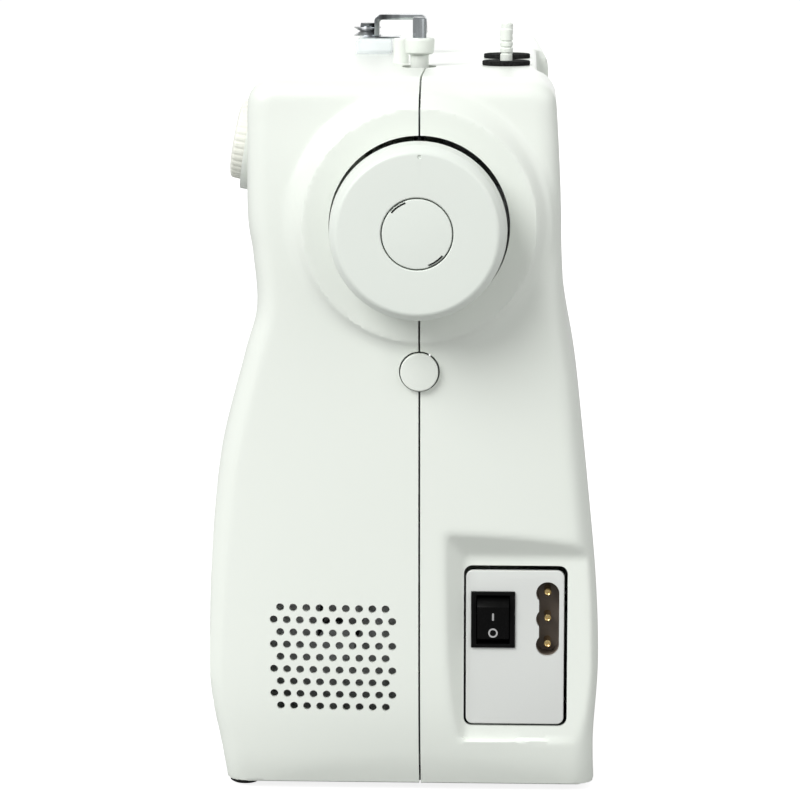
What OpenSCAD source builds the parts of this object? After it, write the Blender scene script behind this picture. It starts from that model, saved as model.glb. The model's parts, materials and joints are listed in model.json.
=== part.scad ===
// Domestic free-arm sewing machine, hand wheel towards +X, operator side towards -Y.

/* [Body] */
// Distance from the head's left end to the hand wheel's face
machine_l = 400; // [396:1:404]
// Height of the arm's flat top
body_h = 306; // [304:1:308]
// Height of the sewing surface
bed_h = 102; // [100:1:104]
// Thickness of the plastic covers
wall = 2.6; // [2.2:0.1:3]
// Gap between covers that meet
seam_gap = 0.8; // [0.4:0.1:1.2]
// X of the column's inner wall
column_x = 25; // [22:1:28]
// Height of the arm's underside
arm_z = 214; // [212:1:216]
// Height of the head's underside
head_z = 182; // [180:1:183]

/* [Drive] */
// Y of the cover seam and of the arm shaft
seam_y = 8.6; // [8:0.1:9]
// Height of the arm shaft
shaft_z = 245.6; // [245:0.1:246]
// Radius of the arm shaft
shaft_r = 5; // [4.5:0.1:5.5]
// Radius of the hand wheel
wheel_r = 36.5; // [36:0.1:36.5]
// Radius of the recess that the hand wheel turns in
recess_r = 37.5; // [37.5:0.1:38]
// Y of the lower shaft and of the hook's axis
hook_y = -9.4; // [-9.6:0.1:-9.2]
// Height of the lower shaft
lower_z = 52; // [51:0.5:53]
// Crank radius, half the needle stroke
crank_r = 16; // [15:0.5:16]

/* [Needle] */
// X of the needle, presser bar and hook
needle_x = -150; // [-150:1:-150]
// Radius of the needle bar
needle_bar_r = 3; // [2.8:0.1:3]
// Radius of the presser bar
presser_bar_r = 3.5; // [3:0.1:3.5]

/* [Top fittings] */
// Height that a stored spool pin stands above the felt
pin_out = 14; // [12:1:17]
// Radius of a spool pin
spool_pin_r = 2.65; // [2.4:0.05:2.8]
// Radius of a spool felt
felt_r = 10.5; // [9:0.1:11]
// Radius of the bobbin winder's post
spindle_r = 3; // [2.9:0.05:3]
// Length of the bobbin winder's post above its flange
post_l = 9; // [8:0.5:10]

/* [Inlet] */
// Radius of one lobe of the three-pin inlet
lobe_r = 4.8; // [4.4:0.1:5]
// Distance between the inlet's pins
pin_pitch = 11.2; // [10.8:0.1:11.3]
// Radius of an inlet pin
inlet_pin_r = 1.5; // [1.2:0.1:1.8]

/* [Hidden] */
$fn = 64;

front_x = -machine_l / 2;
wheel_x = machine_l / 2;
face_x = -172;
floor_gap = 3.5;
run = 0.05;
fit = 0.02;
slack = 0.4;

// [y, z] stations of the column's front and rear lines, from the base up
front_line = [[-75, floor_gap], [-77.4, 20], [-83, 42], [-84.5, 58], [-82.5, 100], [-76.2, 148],
    [-65.5, 190], [-60.2, 210], [-61.6, 232], [-63.9, 250], [-63.7, 292]];
rear_line = [[83.2, floor_gap], [82.6, 25], [84.5, 58], [83, 97], [78.4, 144], [74.8, 175],
    [69.8, 204], [67.7, 230], [66.8, 262], [65.2, 292]];
// [x, z] stations of the column's end line
end_line = [[155, floor_gap], [161, 18], [167.5, 44], [170.5, 80], [171.5, 150], [171.5, 215],
    [168.5, 258], [164, 288]];
corner_r = 12;
line_steps = 3;
arc_steps = 5;

needle_y = seam_y;
presser_y = seam_y + 18;
pivot_z = 286;
spine_y = 46;
spine_t = 5;
boss_r = 50;
boss_x = 171.5;
pulley_x = 134;
pulley_r = 30;
motor_y = -28;
motor_z = 62;
timing_x = 33;
timing_r = 12;
pin_spots = [72, 20];
pin_y = 43.4;
winder_x = 80;
winder_y = 5.6;
winder_pivot_y = -22;
spindle_step = 0.4;
flange_top = body_h + 12.2;
slot_w = 14.8;
slot_l = 22;
stopper_spot = [60, -3.3];
dial_y = -62.3;
dial_z = 276.8;
dial_tilt = 10.3;
pocket_x = [-58, 98];
handle_y = 61.8;
handle_z = 282;
inlet_y = 62.8;
inlet_z = 77.4;
switch_z = 77.2;
switch_y = [30.5, 48.9];
switch_ends = [65.1, 89.2];
rocker_y = [33, 46.4];
lid_y = -82.2;
lid_z = 16;
rocker_tilt = 8;
panel_x = 160;
arm_y = [-34, 50];
arm_x = -187;
arm_bottom = 34;
cam_x = -20;
cam_z = 271.6;
take_up_x = -115;
take_up_y = -8;
take_up_z = 268;
lever_y = 38;
lever_z = 206;
lever_up = 102;
presser_lift = 6;
reverse_y = -48;
reverse_z = 150;
// Size of the blocks that cut the covers apart
span_x = 210;
span_y = 100;
span_z = 320;
far = 300;
// [x, z] of the rear cover's screws
cover_screws = [[-120, 248], [124, 236], [112, 150], [76, 70]];
cap_z = 184.6;
length_spot = [62, 236];
tension_z = 262;
length_r = 12;
tension_r = 14;
dial_x = 125;
dial_r = 17.5;
dial_stem_r = 4;
// Radii of the pins that the small parts turn on
pivot_r = 2.5;
stud_r = 3;
reverse_pin_r = 2;
hinge_r = 1.2;
motor_shaft_r = 3;
lower_r = 4;
// X of the bearings of the arm shaft and of the lower shaft
arm_bearings = [-128, 120];
bed_bearings = [-128, 20];
bearing_w = 8;
arm_bush_r = 8;
bed_bush_r = 7;
crank_x = [-137, -131];
plate_x = [needle_x - 31.6, needle_x + 37.6];
feed_rows = [-10, -7, 7, 10];
ankle_y = 19.5;
ankle_z = 110;
ankle_r = 1.5;
clamp_z = 153.5;
lever_angle = 154;
lever_reach = 43;
spring_r = 5.4;
spring_wire_r = 0.7;
spring_z = 231;
spring_l = 30;
vent_r = 1.45;
vent_y = -28;
vent_top = 82.8;
bolt_x = [72, 108];
bolt_r = 3;

function catmull(a, b, c, d, t) =
    b + 0.5 * t * ((c - a) + t * ((2 * a - 5 * b + 4 * c - d) + t * (3 * (b - c) + d - a)));
function smooth(p) = [
    for (i = [0:len(p) - 2], k = [0:line_steps - 1])
        catmull(p[max(i - 1, 0)], p[i], p[i + 1], p[min(i + 2, len(p) - 1)], k / line_steps),
    p[len(p) - 1]
];
function reversed(p) = [for (i = [len(p) - 1:-1:0]) p[i]];
function arc(c, r, a, b, n = arc_steps) =
    [for (i = [0:n]) c + r * [cos(a + (b - a) * i / n), sin(a + (b - a) * i / n)]];
function inset(p, d) = [
    for (i = [0:len(p) - 1])
        let (a = p[(i + len(p) - 1) % len(p)], b = p[(i + 1) % len(p)], t = (b - a) / norm(b - a))
            p[i] + d * [-t[1], t[0]]
];
function y_at(line, z) = lookup(z, [for (s = line) [s[1], s[0]]]);

// Closed outline of the body seen from its end, as [y, z]
end_outline = concat(
    smooth(rear_line),
    arc([65.2 - corner_r, body_h - corner_r], corner_r, 15, 90),
    arc([-63.7 + corner_r, body_h - corner_r], corner_r, 90, 165),
    reversed(smooth(front_line))
);
// Closed outline of arm, head and column seen from the front, as [x, z]
side_outline = concat(
    smooth(end_line),
    arc([163 - corner_r, body_h - corner_r], corner_r, 20, 90),
    [[face_x, body_h], [face_x, head_z]],
    arc([-112, head_z + 12], 12, -90, -20),
    arc([-86, arm_z - 12], 12, 160, 90),
    arc([column_x - 20, arm_z - 20], 20, 90, 0),
    [[column_x, floor_gap]]
);
crown_r = 340;
crown_x = 172.5;
plan_outline = concat(
    [[face_x, -58.5], [column_x - 5, -64.5], [column_x - 4, -90]],
    arc([crown_x - crown_r, seam_y], crown_r, -16, 16, 14),
    [[column_x - 4, 90], [column_x - 5, 66.5], [face_x, 59]]
);

module along_x(x0, x1) {
    translate([x0, 0, 0]) rotate([90, 0, 90]) linear_extrude(x1 - x0) children();
}
module along_y(y0, y1) {
    translate([0, y1, 0]) rotate([90, 0, 0]) linear_extrude(y1 - y0) children();
}
module rod_x(x0, x1, y, z, r) {
    translate([x0, y, z]) rotate([0, 90, 0]) cylinder(r = r, h = x1 - x0);
}
module rod_y(y0, y1, x, z, r) {
    translate([x, y1, z]) rotate([90, 0, 0]) cylinder(r = r, h = y1 - y0);
}
module rod_z(z0, z1, x, y, r) {
    translate([x, y, z0]) cylinder(r = r, h = z1 - z0);
}
module block(lo, hi) {
    translate(lo) cube(hi - lo);
}
module tilted_dial() {
    translate([dial_x, dial_y, dial_z]) rotate([90 - dial_tilt, 0, 0]) children();
}

// ---- covers ----
module body_outer() {
    intersection() {
        along_x(-span_x, span_x) polygon(end_outline);
        along_y(-span_y, span_y) polygon(side_outline);
        linear_extrude(span_z) polygon(plan_outline);
    }
    intersection() {
        rod_x(150, boss_x, seam_y, shaft_z, boss_r);
        along_x(span_y, span_x) polygon(end_outline);
    }
}
module body_inner() {
    difference() {
        intersection() {
            along_x(-span_x, span_x) polygon(inset(end_outline, wall));
            along_y(-span_y, span_y) polygon(inset(side_outline, wall));
            linear_extrude(span_z) polygon(inset(plan_outline, wall));
        }
        inlet_pocket(wall);
        handle_pocket(wall);
    }
    block([column_x, arm_y[0] + wall, arm_bottom + wall], [column_x + 9, arm_y[1] - wall, bed_h - wall]);
    block([column_x + wall + 2, -70, 0], [149, 78, 12]);
    block([column_x - 1, arm_y[0] + 5.4, 0], [column_x + 9, arm_y[1] - 5.4, 20.6]);
    block([needle_x - 17, -14, head_z - 8], [needle_x + 17, 55, head_z + 12]);
}
module inlet_pocket(grow = 0) {
    intersection() {
        linear_extrude(200) polygon([[panel_x - grow, 28.4 - grow], [180, 11.4 - grow],
            [180, 100], [panel_x - grow, 100]]);
        along_y(0, 100) polygon([[panel_x - grow, 24 - grow], [180, 34 - grow], [180, 124 + grow],
            [panel_x - grow, 104 + grow]]);
    }
}
module inlet_floor() {
    block([panel_x - 4, 27.3, 30.7], [panel_x + 4, 71.2, 100.6]);
}
module handle_pocket(grow = 0) {
    block([pocket_x[0] - grow, 56.8 - grow, 226 - grow], [pocket_x[1] + grow, 80, 330]);
}
module wheel_recess() {
    rod_x(130, 190, seam_y, shaft_z, recess_r);
}
module vent_holes() {
    rows = 9;
    pitch_y = 5.6;
    pitch_z = 5.4;
    for (row = [0:rows - 1]) {
        count = 9 + row % 2;
        for (i = [0:count - 1])
            rod_x(150, 180, vent_y + (i - (count - 1) / 2) * pitch_y, vent_top - row * pitch_z, vent_r);
    }
}
module top_slots() {
    block(
        [winder_x - slot_w / 2, winder_y - slot_w / 2, body_h - 9],
        [winder_x - slot_w / 2 + slot_l, winder_y + slot_w / 2, body_h + 9]
    );
    for (x = pin_spots) rod_z(body_h - 9, body_h + 9, x, pin_y, spool_pin_r + fit + run);
}
module screw_spots() {
    for (s = cover_screws)
        translate([s[0], y_at(rear_line, s[1]), s[1]]) rotate([90, 0, 0]) children();
}
module half_cover() {
    difference() {
        body_outer();
        body_inner();
        wheel_recess();
        rod_x(150, 190, seam_y, cap_z, 8.4);
        children();
    }
}
module front_cover() color("white") {
    difference() {
        union() {
            intersection() {
                half_cover() {
                    vent_holes();
                    top_slots();
                }
                block([-far, -far, 0], [far, seam_y - seam_gap / 2, far + body_h]);
            }
            intersection() {
                tilted_dial() translate([0, 0, -3]) cylinder(r = 21, h = 8);
                along_x(0, span_x) polygon(inset(end_outline, 0.3));
            }
            rod_z(body_h - 20, body_h - wall, winder_x, winder_pivot_y, pivot_r);
        }
        tilted_dial() {
            cylinder(r = dial_r + 0.7, h = 20);
            translate([0, 0, -9]) cylinder(r = dial_stem_r + 0.3, h = 12);
        }
        rod_y(-80, -40, length_spot[0], length_spot[1], 3.8);
        rod_y(-80, -62.4, length_spot[0], length_spot[1], length_r + 0.6);
        rod_y(-80, -40, needle_x, tension_z, 4.2);
        block([take_up_x - 4, -80, 236], [take_up_x + 6, -40, 298]);
        block([76, -90, 133], [114, -60, 160]);
        block([needle_x + 24, -12, head_z - 5], [needle_x + 40, 6, head_z + 5]);
    }
}
module rear_cover() color("white") {
    difference() {
        union() {
            intersection() {
                half_cover() {
                    top_slots();
                    inlet_pocket();
                    inlet_floor();
                    handle_pocket();
                }
                block([-far, seam_y + seam_gap / 2, 0], [far, far, far + body_h]);
            }
            for (x = pin_spots) rod_z(262, body_h - wall, x, pin_y, 5);
        }
        for (x = pin_spots) rod_z(250, body_h + 9, x, pin_y, spool_pin_r + run);
        for (x = pocket_x) rod_x(x - 4, x + 4, handle_y, handle_z, pivot_r + fit);
        screw_spots() {
            translate([0, 0, -4]) cylinder(r = 4.2, h = 8);
            cylinder(r = 2.2, h = 30);
        }
        block([needle_x + 5, 50, lever_z - 14], [needle_x + 17, 80, lever_z + 38]);
    }
}
module face_shape(d) {
    intersection() {
        along_x(-span_x, face_x - slack) polygon(inset(end_outline, d));
        along_y(-span_y, span_y)
            polygon(inset(concat(
                [[face_x + d - slack, head_z]],
                [[face_x + d - slack, body_h]],
                arc([front_x + 26, body_h - 26], 26, 90, 180),
                arc([front_x + 18, head_z + 18], 18, 180, 270)
            ), d));
        linear_extrude(span_z)
            polygon(inset(concat(
                [[face_x + d - slack, -58.5], [face_x + d - slack, 59]],
                arc([front_x + 30, 28], 30, 90, 180),
                arc([front_x + 30, -27.5], 30, 180, 270)
            ), d));
    }
}
module face_cover() color("white") {
    difference() {
        face_shape(0);
        face_shape(wall);
    }
}
module free_arm_shape(d) {
    intersection() {
        translate([0, 0, arm_bottom + d]) linear_extrude(bed_h - arm_bottom - 2 * d)
            polygon(inset(concat(
                [[column_x - slack + d, arm_y[0]], [column_x - slack + d, arm_y[1]]],
                arc([arm_x + 22, arm_y[1] - 22], 22, 90, 180),
                arc([arm_x + 22, arm_y[0] + 22], 22, 180, 270)
            ), d));
        along_x(-span_x, column_x)
            polygon(inset(concat(
                [[arm_y[1], bed_h], [arm_y[0], bed_h]],
                arc([arm_y[0] + 12, arm_bottom + 12], 12, 180, 270),
                arc([arm_y[1] - 12, arm_bottom + 12], 12, 270, 360)
            ), d));
    }
}
module bed_cover() color("white") {
    difference() {
        free_arm_shape(0);
        free_arm_shape(wall);
        block([plate_x[0] - slack, -30.6, bed_h - 8], [plate_x[1] + slack, 46.4, bed_h + 8]);
    }
}
module base_pan() color("gainsboro") {
    difference() {
        union() {
            block([column_x + wall + 2.4, -69.6, 3], [148.6, 77.6, 6]);
            block([-100, arm_y[0] + 6, 3], [column_x + wall + 3, arm_y[1] - 6, 20]);
        }
        block([-97, arm_y[0] + 9, 6], [24, arm_y[1] - 9, 17]);
        block([-40, arm_y[0] + 9, 2], [0, arm_y[1] - 9, 17]);
        for (x = [50, 60, 70, 80, 90, 100, 110]) block([x, -50, 2], [x + 5, -10, 8]);
    }
}
module feet() color("black") {
    for (p = [[141, -67.6], [116, 60], [42, -60], [42, 60], [-88, 8]])
        translate([p[0], p[1], 0]) {
            cylinder(r1 = 6, r2 = 6.75, h = 1);
            translate([0, 0, 1]) cylinder(r = 6.75, h = 2);
        }
}

// ---- frame and drive ----
module bolt_spots() {
    for (x = bolt_x) translate([x, spine_y - 6.6, 0]) children();
}
module arm_frame() color("silver") {
    difference() {
        union() {
            block([needle_x - 12, spine_y, 217.4], [132, spine_y + spine_t, 258]);
            block([needle_x - 12, spine_y, 192], [needle_x + 7, spine_y + spine_t, 298]);
            block([needle_x + 5, 34, 200], [needle_x + 7.4, spine_y + 1, 212]);
            block([60, spine_y, 112], [120, spine_y + spine_t, 220]);
            block([60, spine_y - 13, 106], [120, spine_y + spine_t, 112]);
            for (x = [74, 114]) block([x, reverse_y - 4, reverse_z - 4],
                [x + 3, spine_y + 1, reverse_z + 4]);
            for (x = arm_bearings) {
                block([x, seam_y, 232], [x + bearing_w, spine_y + 1, 258]);
                rod_x(x, x + bearing_w, seam_y, shaft_z, arm_bush_r + 4.5);
            }
            block([take_up_x - 11, -3, 255], [take_up_x - 6, spine_y + 1, 262]);
            rod_x(take_up_x - 11, take_up_x - 6, take_up_y, take_up_z, 6);
            block([take_up_x - 11, take_up_y - 2, 258], [take_up_x - 6, 4, take_up_z]);
            for (z = [196, 262]) block([needle_x - 7, 20.4, z], [needle_x + 7, spine_y + 1, z + 8]);
            rod_y(spine_y - 10, spine_y + 1, needle_x, pivot_z, 6);
            block([cam_x - 8, spine_y, 256], [cam_x + 8, spine_y + spine_t, cam_z + 8]);
            rod_y(spine_y - 14, spine_y + 1, cam_x, cam_z, 6);
        }
        for (x = arm_bearings) rod_x(x - 1, x + bearing_w + 1, seam_y, shaft_z, arm_bush_r + fit);
        rod_x(take_up_x - 12, take_up_x - 5, take_up_y, take_up_z, pivot_r + fit);
        rod_z(190, 275, needle_x, presser_y, presser_bar_r + run);
        rod_y(spine_y - 11, spine_y + spine_t + 1, needle_x, pivot_z, stud_r + fit);
        rod_y(spine_y - 15, spine_y + spine_t + 1, cam_x, cam_z, stud_r + fit);
        rod_x(needle_x + 4, needle_x + 9, lever_y, lever_z, pivot_r + fit);
        block([needle_x + 7.4, spine_y - 1, lever_z - 8],
            [needle_x + 13.6, spine_y + spine_t + 1, lever_z + 34]);
        rod_x(70, 120, reverse_y, reverse_z, reverse_pin_r + fit);
        screw_spots() cylinder(r = 2 + fit, h = 60);
        bolt_spots() rod_z(100, 120, 0, 0, bolt_r + fit);
    }
}
module bed_frame() color("silver") {
    difference() {
        union() {
            block([34, -56, 9], [146, 56, 14]);
            block([60, spine_y, 13], [120, spine_y + spine_t, 101]);
            block([60, spine_y - 13, 100], [120, spine_y + spine_t, 105.6]);
            block([arm_x + 14, 37, 40], [70, 44, 92]);
            block([58, 37, 13], [70, spine_y + 1, 92]);
            for (x = bed_bearings) {
                block([x, hook_y, 44], [x + bearing_w, 38, 60]);
                rod_x(x, x + bearing_w, hook_y, lower_z, bed_bush_r + 3);
            }
            block([needle_x - 14, -20, 71], [needle_x + 14, 38, 77]);
            block([131, -58, 13], [134, 4, 92]);
            for (x = [arm_x + 17, needle_x + 30]) block([x, 37, 88], [x + 6, 44, 99]);
        }
        for (x = bed_bearings) rod_x(x - 1, x + bearing_w + 1, hook_y, lower_z, bed_bush_r + fit);
        rod_z(60, 80, needle_x, hook_y, 3.5 + run);
        rod_x(130, 135, motor_y, motor_z, 9);
        screw_spots() cylinder(r = 2 + fit, h = 60);
        bolt_spots() rod_z(90, 120, 0, 0, bolt_r + fit);
    }
}
module bolt(r, length) {
    cylinder(r = r, h = length);
    translate([0, 0, length]) cylinder(r = 1.8 * r, h = 1.2 * r, $fn = 6);
}
module screws() color("dimgray") {
    bolt_spots() translate([0, 0, 100.4]) bolt(bolt_r, 11.6);
    for (s = cover_screws) {
        head = y_at(rear_line, s[1]) - 3;
        tip = spine_y + 0.5;
        rod_y(tip, head - 1, s[0], s[1], 2);
        rod_y(head - 1, head + 1.4, s[0], s[1], 3.8);
    }
}
module screw_cap() color("white") {
    rod_x(168.8, 171.6, seam_y, cap_z, 8.1);
    rod_x(156, 169, seam_y, cap_z, 3);
}
module bush(x, y, z, outer, inner) {
    difference() {
        rod_x(x, x + bearing_w, y, z, outer);
        rod_x(x - 1, x + bearing_w + 1, y, z, inner + run);
    }
}
module bearings() color("peru") {
    for (x = arm_bearings) bush(x, seam_y, shaft_z, arm_bush_r, shaft_r);
    for (x = bed_bearings) bush(x, hook_y, lower_z, bed_bush_r, lower_r);
}
module pivot_pins() color("gray") {
    rod_y(9, spine_y + spine_t, needle_x, pivot_z, stud_r);
    rod_y(-34, spine_y + spine_t, cam_x, cam_z, stud_r);
    rod_x(take_up_x - 11, take_up_x + 5, take_up_y, take_up_z, pivot_r);
    rod_x(needle_x + 5, needle_x + 14, lever_y, lever_z, pivot_r);
    rod_x(74, 117, reverse_y, reverse_z, reverse_pin_r);
    for (x = pocket_x) {
        side = sign(x);
        rod_x(min(x + side * 4, x - side * 9), max(x + side * 4, x - side * 9), handle_y, handle_z,
            pivot_r);
    }
}
module arm_shaft() color("silver") {
    rod_x(crank_x[0], 190, seam_y, shaft_z, shaft_r);
    for (i = [0:5]) rod_x(cam_x - 14 + i * 5, cam_x - 11 + i * 5, seam_y, shaft_z, 7.8);
}
module crank() {
    difference() {
        union() {
            rod_x(crank_x[0], crank_x[1], seam_y, shaft_z, 10);
            rod_x(crank_x[0], crank_x[1], seam_y, shaft_z + crank_r, 6);
            block([crank_x[0], seam_y - 6, shaft_z], [crank_x[1], seam_y + 6, shaft_z + crank_r]);
            intersection() {
                rod_x(crank_x[0], crank_x[1], seam_y, shaft_z, 21);
                block([crank_x[0], seam_y - 18, shaft_z - 22], [crank_x[1], seam_y + 18, shaft_z - 6]);
            }
            rod_x(crank_x[0] - 2.8, crank_x[0], seam_y, shaft_z + crank_r, 3.5);
        }
        rod_x(crank_x[0] - 1, crank_x[1] + 1, seam_y, shaft_z, shaft_r + fit);
    }
}
module pulley(x, y, z, r, bore, width) {
    difference() {
        union() {
            rod_x(x, x + width, y, z, r);
            rod_x(x, x + 1.5, y, z, r + 2);
            rod_x(x + width - 1.5, x + width, y, z, r + 2);
        }
        rod_x(x - 1, x + width + 1, y, z, bore + fit);
    }
}
module shaft_fittings() color("dimgray") {
    crank();
    pulley(pulley_x, seam_y, shaft_z, pulley_r - 2, shaft_r, 10);
    pulley(timing_x, seam_y, shaft_z, timing_r, shaft_r, 10);
}
module handwheel() color("white") {
    difference() {
        translate([0, seam_y, shaft_z]) rotate([0, 90, 0]) rotate_extrude()
            polygon(concat(
                [[shaft_r + run, 152], [9, 152], [9, 184], [wheel_r - 4, 184], [wheel_r - 4, 170],
                    [wheel_r - 2, 170]],
                [[wheel_r - 1, 174], [wheel_r, 185]],
                arc([wheel_r - 4.5, wheel_x - 4], 4, 0, 90, 6),
                [[14.7, wheel_x], [14.7, wheel_x - 5], [shaft_r + run, wheel_x - 5]]
            ));
        for (a = [0:30:359])
            translate([0, seam_y, shaft_z]) rotate([a, 0, 0]) rod_x(180, 188, 0, 25, 3.2);
    }
}
module handwheel_cap() color("white") {
    difference() {
        rod_x(wheel_x - 5, wheel_x - 0.2, seam_y, shaft_z, 14.3);
        for (a = [125, 305])
            translate([0, seam_y, shaft_z]) rotate([a, 0, 0]) block([wheel_x - 2, 13.2, -1.6],
                [wheel_x + 1, 16, 1.6]);
    }
}
module motor() color("silver") {
    difference() {
        union() {
            rod_x(64, 130.6, motor_y, motor_z, 24);
            rod_x(60, 65, motor_y, motor_z, 10);
            rod_x(130, 133.6, motor_y, motor_z, 8);
        }
        for (a = [0:60:359])
            translate([0, motor_y, motor_z]) rotate([a, 0, 0]) rod_x(62, 72, 0, 17, 3.5);
        rod_x(100, 136, motor_y, motor_z, motor_shaft_r + run);
    }
}
module motor_pulley() color("dimgray") {
    rod_x(101, 147, motor_y, motor_z, motor_shaft_r);
    pulley(pulley_x + 0.4, motor_y, motor_z, 6, motor_shaft_r - 0.1, 9);
}
function loop_outline(a, ra, b, rb) =
    let (d = norm(b - a), up = atan2(b[1] - a[1], b[0] - a[0]), t = acos((ra - rb) / d))
        concat(arc(a, ra, up + t, up + 360 - t, 30), arc(b, rb, up - t, up + t, 30));
module belt_loop(a, ra, b, rb, thick) {
    difference() {
        polygon(loop_outline(a, ra + thick, b, rb + thick));
        polygon(loop_outline(a, ra, b, rb));
    }
}
module belts() color("black") {
    along_x(pulley_x + 1.9, pulley_x + 7.6)
        belt_loop([seam_y, shaft_z], pulley_r - 1.5, [motor_y, motor_z], 6.5, 1.6);
    along_x(timing_x + 1.9, timing_x + 8.1)
        belt_loop([seam_y, shaft_z], timing_r + 0.4, [hook_y, lower_z], timing_r + 0.4, 1.6);
}
module bevel(big, small, thick, teeth) {
    difference() {
        rotate_extrude() polygon([[0, 0], [big, 0], [big, thick],
            [0.6 * big, thick + 0.4 * small], [0, thick + 0.4 * small]]);
        for (i = [0:teeth - 1])
            rotate([0, 0, 360 * i / teeth])
                translate([0.8 * big, 0, thick + 0.2 * small]) rotate([0, atan2(small, big), 0])
                    cube([big, 1.2, 1.4], center = true);
    }
}
gear_big = 14;
gear_small = 7;
module lower_shaft() color("silver") {
    rod_x(-145, 46, hook_y, lower_z, lower_r);
    translate([needle_x + gear_small + 3, hook_y, lower_z]) rotate([0, -90, 0])
        bevel(gear_big - 0.3, gear_small, 3, 28);
    rod_x(needle_x + gear_small + 2, -130, hook_y, lower_z, 8);
    pulley(timing_x, hook_y, lower_z, timing_r, lower_r - 0.1, 10);
}
module rotary_hook() color("lightgray") {
    translate([needle_x, hook_y, 0]) {
        difference() {
            translate([0, 0, 78]) cylinder(r = 17.2, h = 17);
            translate([0, 0, 80]) cylinder(r = 15.7, h = 17);
            translate([6, 8, 90]) cube([12, 12, 10]);
        }
        translate([0, 0, lower_z + 13]) cylinder(r = 3.5, h = 15);
        translate([0, 0, lower_z + gear_big + 3]) rotate([180, 0, 0]) bevel(gear_small - 0.3,
            gear_big, 3, 14);
    }
}
module bobbin_case() color("black") {
    translate([needle_x, hook_y, 0]) difference() {
        union() {
            translate([0, 0, 80.4]) cylinder(r = 15.3, h = 14);
            translate([0, 0, 94.4]) cylinder(r = 13.6, h = 2.2);
        }
        translate([0, 0, 82.4]) cylinder(r = 11.2, h = 20);
    }
    translate([needle_x, hook_y, 82]) cylinder(r = 2.6, h = 11);
}
module bobbin() color("lightblue") {
    translate([needle_x, hook_y, 82.8]) rotate_extrude()
        polygon([[2.7, 0], [10.2, 0], [10.2, 1], [4.5, 1], [4.5, 10.7], [10.2, 10.7],
            [10.2, 11.7], [2.7, 11.7]]);
}
module stitch_cams() color("ivory") {
    difference() {
        union() {
            rod_y(1, 5, cam_x, cam_z, 9);
            rod_y(5, 13, cam_x, cam_z, 17.7);
            for (i = [0:5]) {
                translate([cam_x, 0, cam_z]) rotate([0, 20 + i * 50, 0]) rod_y(-28 + i * 5,
                    -24.6 + i * 5, 2.2, 0, 13);
                rod_y(-24.8 + i * 5, -22.8 + i * 5, cam_x, cam_z, 9);
            }
        }
        rod_y(-30, 14, cam_x, cam_z, stud_r + run);
        for (a = [0:18:359])
            translate([cam_x, 0, cam_z]) rotate([0, a, 0]) block([-1.2, 4, 16.4], [1.2, 14, 19]);
    }
}
module zigzag_rod() color("silver") {
    block([needle_x + 7.2, 15.5, 272], [-42, 18, 276]);
    block([-45, -28, 272], [-42, 18, 276]);
    rod_y(-28, -22, -40, 274, 3);
}

// ---- needle and presser ----
module cradle() color("silver") {
    difference() {
        union() {
            block([needle_x - 6, 14.8, 188], [needle_x + 5, 18.4, 290]);
            rod_y(11, 18.4, needle_x, pivot_z, 6.5);
            for (z = [188, 262]) block([needle_x - 6, seam_y - 5.5, z], [needle_x + 5, 15, z + 8]);
            block([needle_x + 4.9, 15.3, 270], [needle_x + 6.6, 18.2, 278]);
        }
        rod_y(10, 20, needle_x, pivot_z, stud_r + run);
        rod_z(180, 276, needle_x, needle_y, needle_bar_r + run);
    }
}
module needle_bar() color("silver") {
    difference() {
        rod_z(148, 276, needle_x, needle_y, needle_bar_r);
        rod_z(147, 160, needle_x, needle_y, 1 + fit);
    }
}
module needle_bar_link() color("gray") {
    stud_z = shaft_z + crank_r - 24;
    difference() {
        union() {
            rod_z(stud_z - 5, stud_z + 5, needle_x, needle_y, 5.4);
            rod_x(needle_x, needle_x + 9, needle_y, stud_z, 3);
        }
        rod_z(200, 276, needle_x, needle_y, needle_bar_r + fit);
    }
    along_x(needle_x + 5.7, needle_x + 8.7) difference() {
        union() {
            for (z = [stud_z, stud_z + 24]) translate([needle_y, z]) circle(r = 6);
            translate([needle_y - 3.5, stud_z]) square([7, 24]);
        }
        translate([needle_y, stud_z + 24]) circle(r = 3.5 + run);
    }
}
module needle_clamp() color("silver") {
    difference() {
        union() {
            rod_z(149, 158, needle_x, needle_y, 4.8);
            rod_x(needle_x + 3, needle_x + 13, needle_y, clamp_z, 1.6);
            rod_x(needle_x + 8, needle_x + 14, needle_y, clamp_z, 4);
        }
        rod_z(140, 170, needle_x, needle_y, needle_bar_r + fit);
    }
}
module needle() color("silver") {
    translate([needle_x, needle_y, 0]) {
        rod_z(146, 159.5, 0, 0, 1);
        rod_z(125, 146.5, 0, 0, 0.4);
        translate([0, 0, 122]) cylinder(r1 = 0.08, r2 = 0.4, h = 3);
    }
}
module take_up_lever() color("silver") {
    along_x(take_up_x - 1, take_up_x + 1.5) difference() {
        union() {
            translate([take_up_y, take_up_z]) circle(r = 6);
            translate([take_up_y, take_up_z]) rotate(lever_angle) translate([0,
                -2.5]) square([lever_reach, 5]);
            translate([take_up_y, take_up_z]) rotate(lever_angle) translate([lever_reach,
                0]) circle(r = 3.6);
        }
        translate([take_up_y, take_up_z]) circle(r = pivot_r + run);
        translate([take_up_y, take_up_z]) rotate(lever_angle) translate([lever_reach, 0]) circle(r = 1.6);
    }
}
module presser_bar() color("silver") translate([0, 0, presser_lift]) {
    rod_z(122, 276, needle_x, presser_y, presser_bar_r);
    rod_z(216, 224, needle_x, presser_y, 7);
}
coil_n = 14;
coil_sides = 6;
coil_turns = 6;
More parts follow.
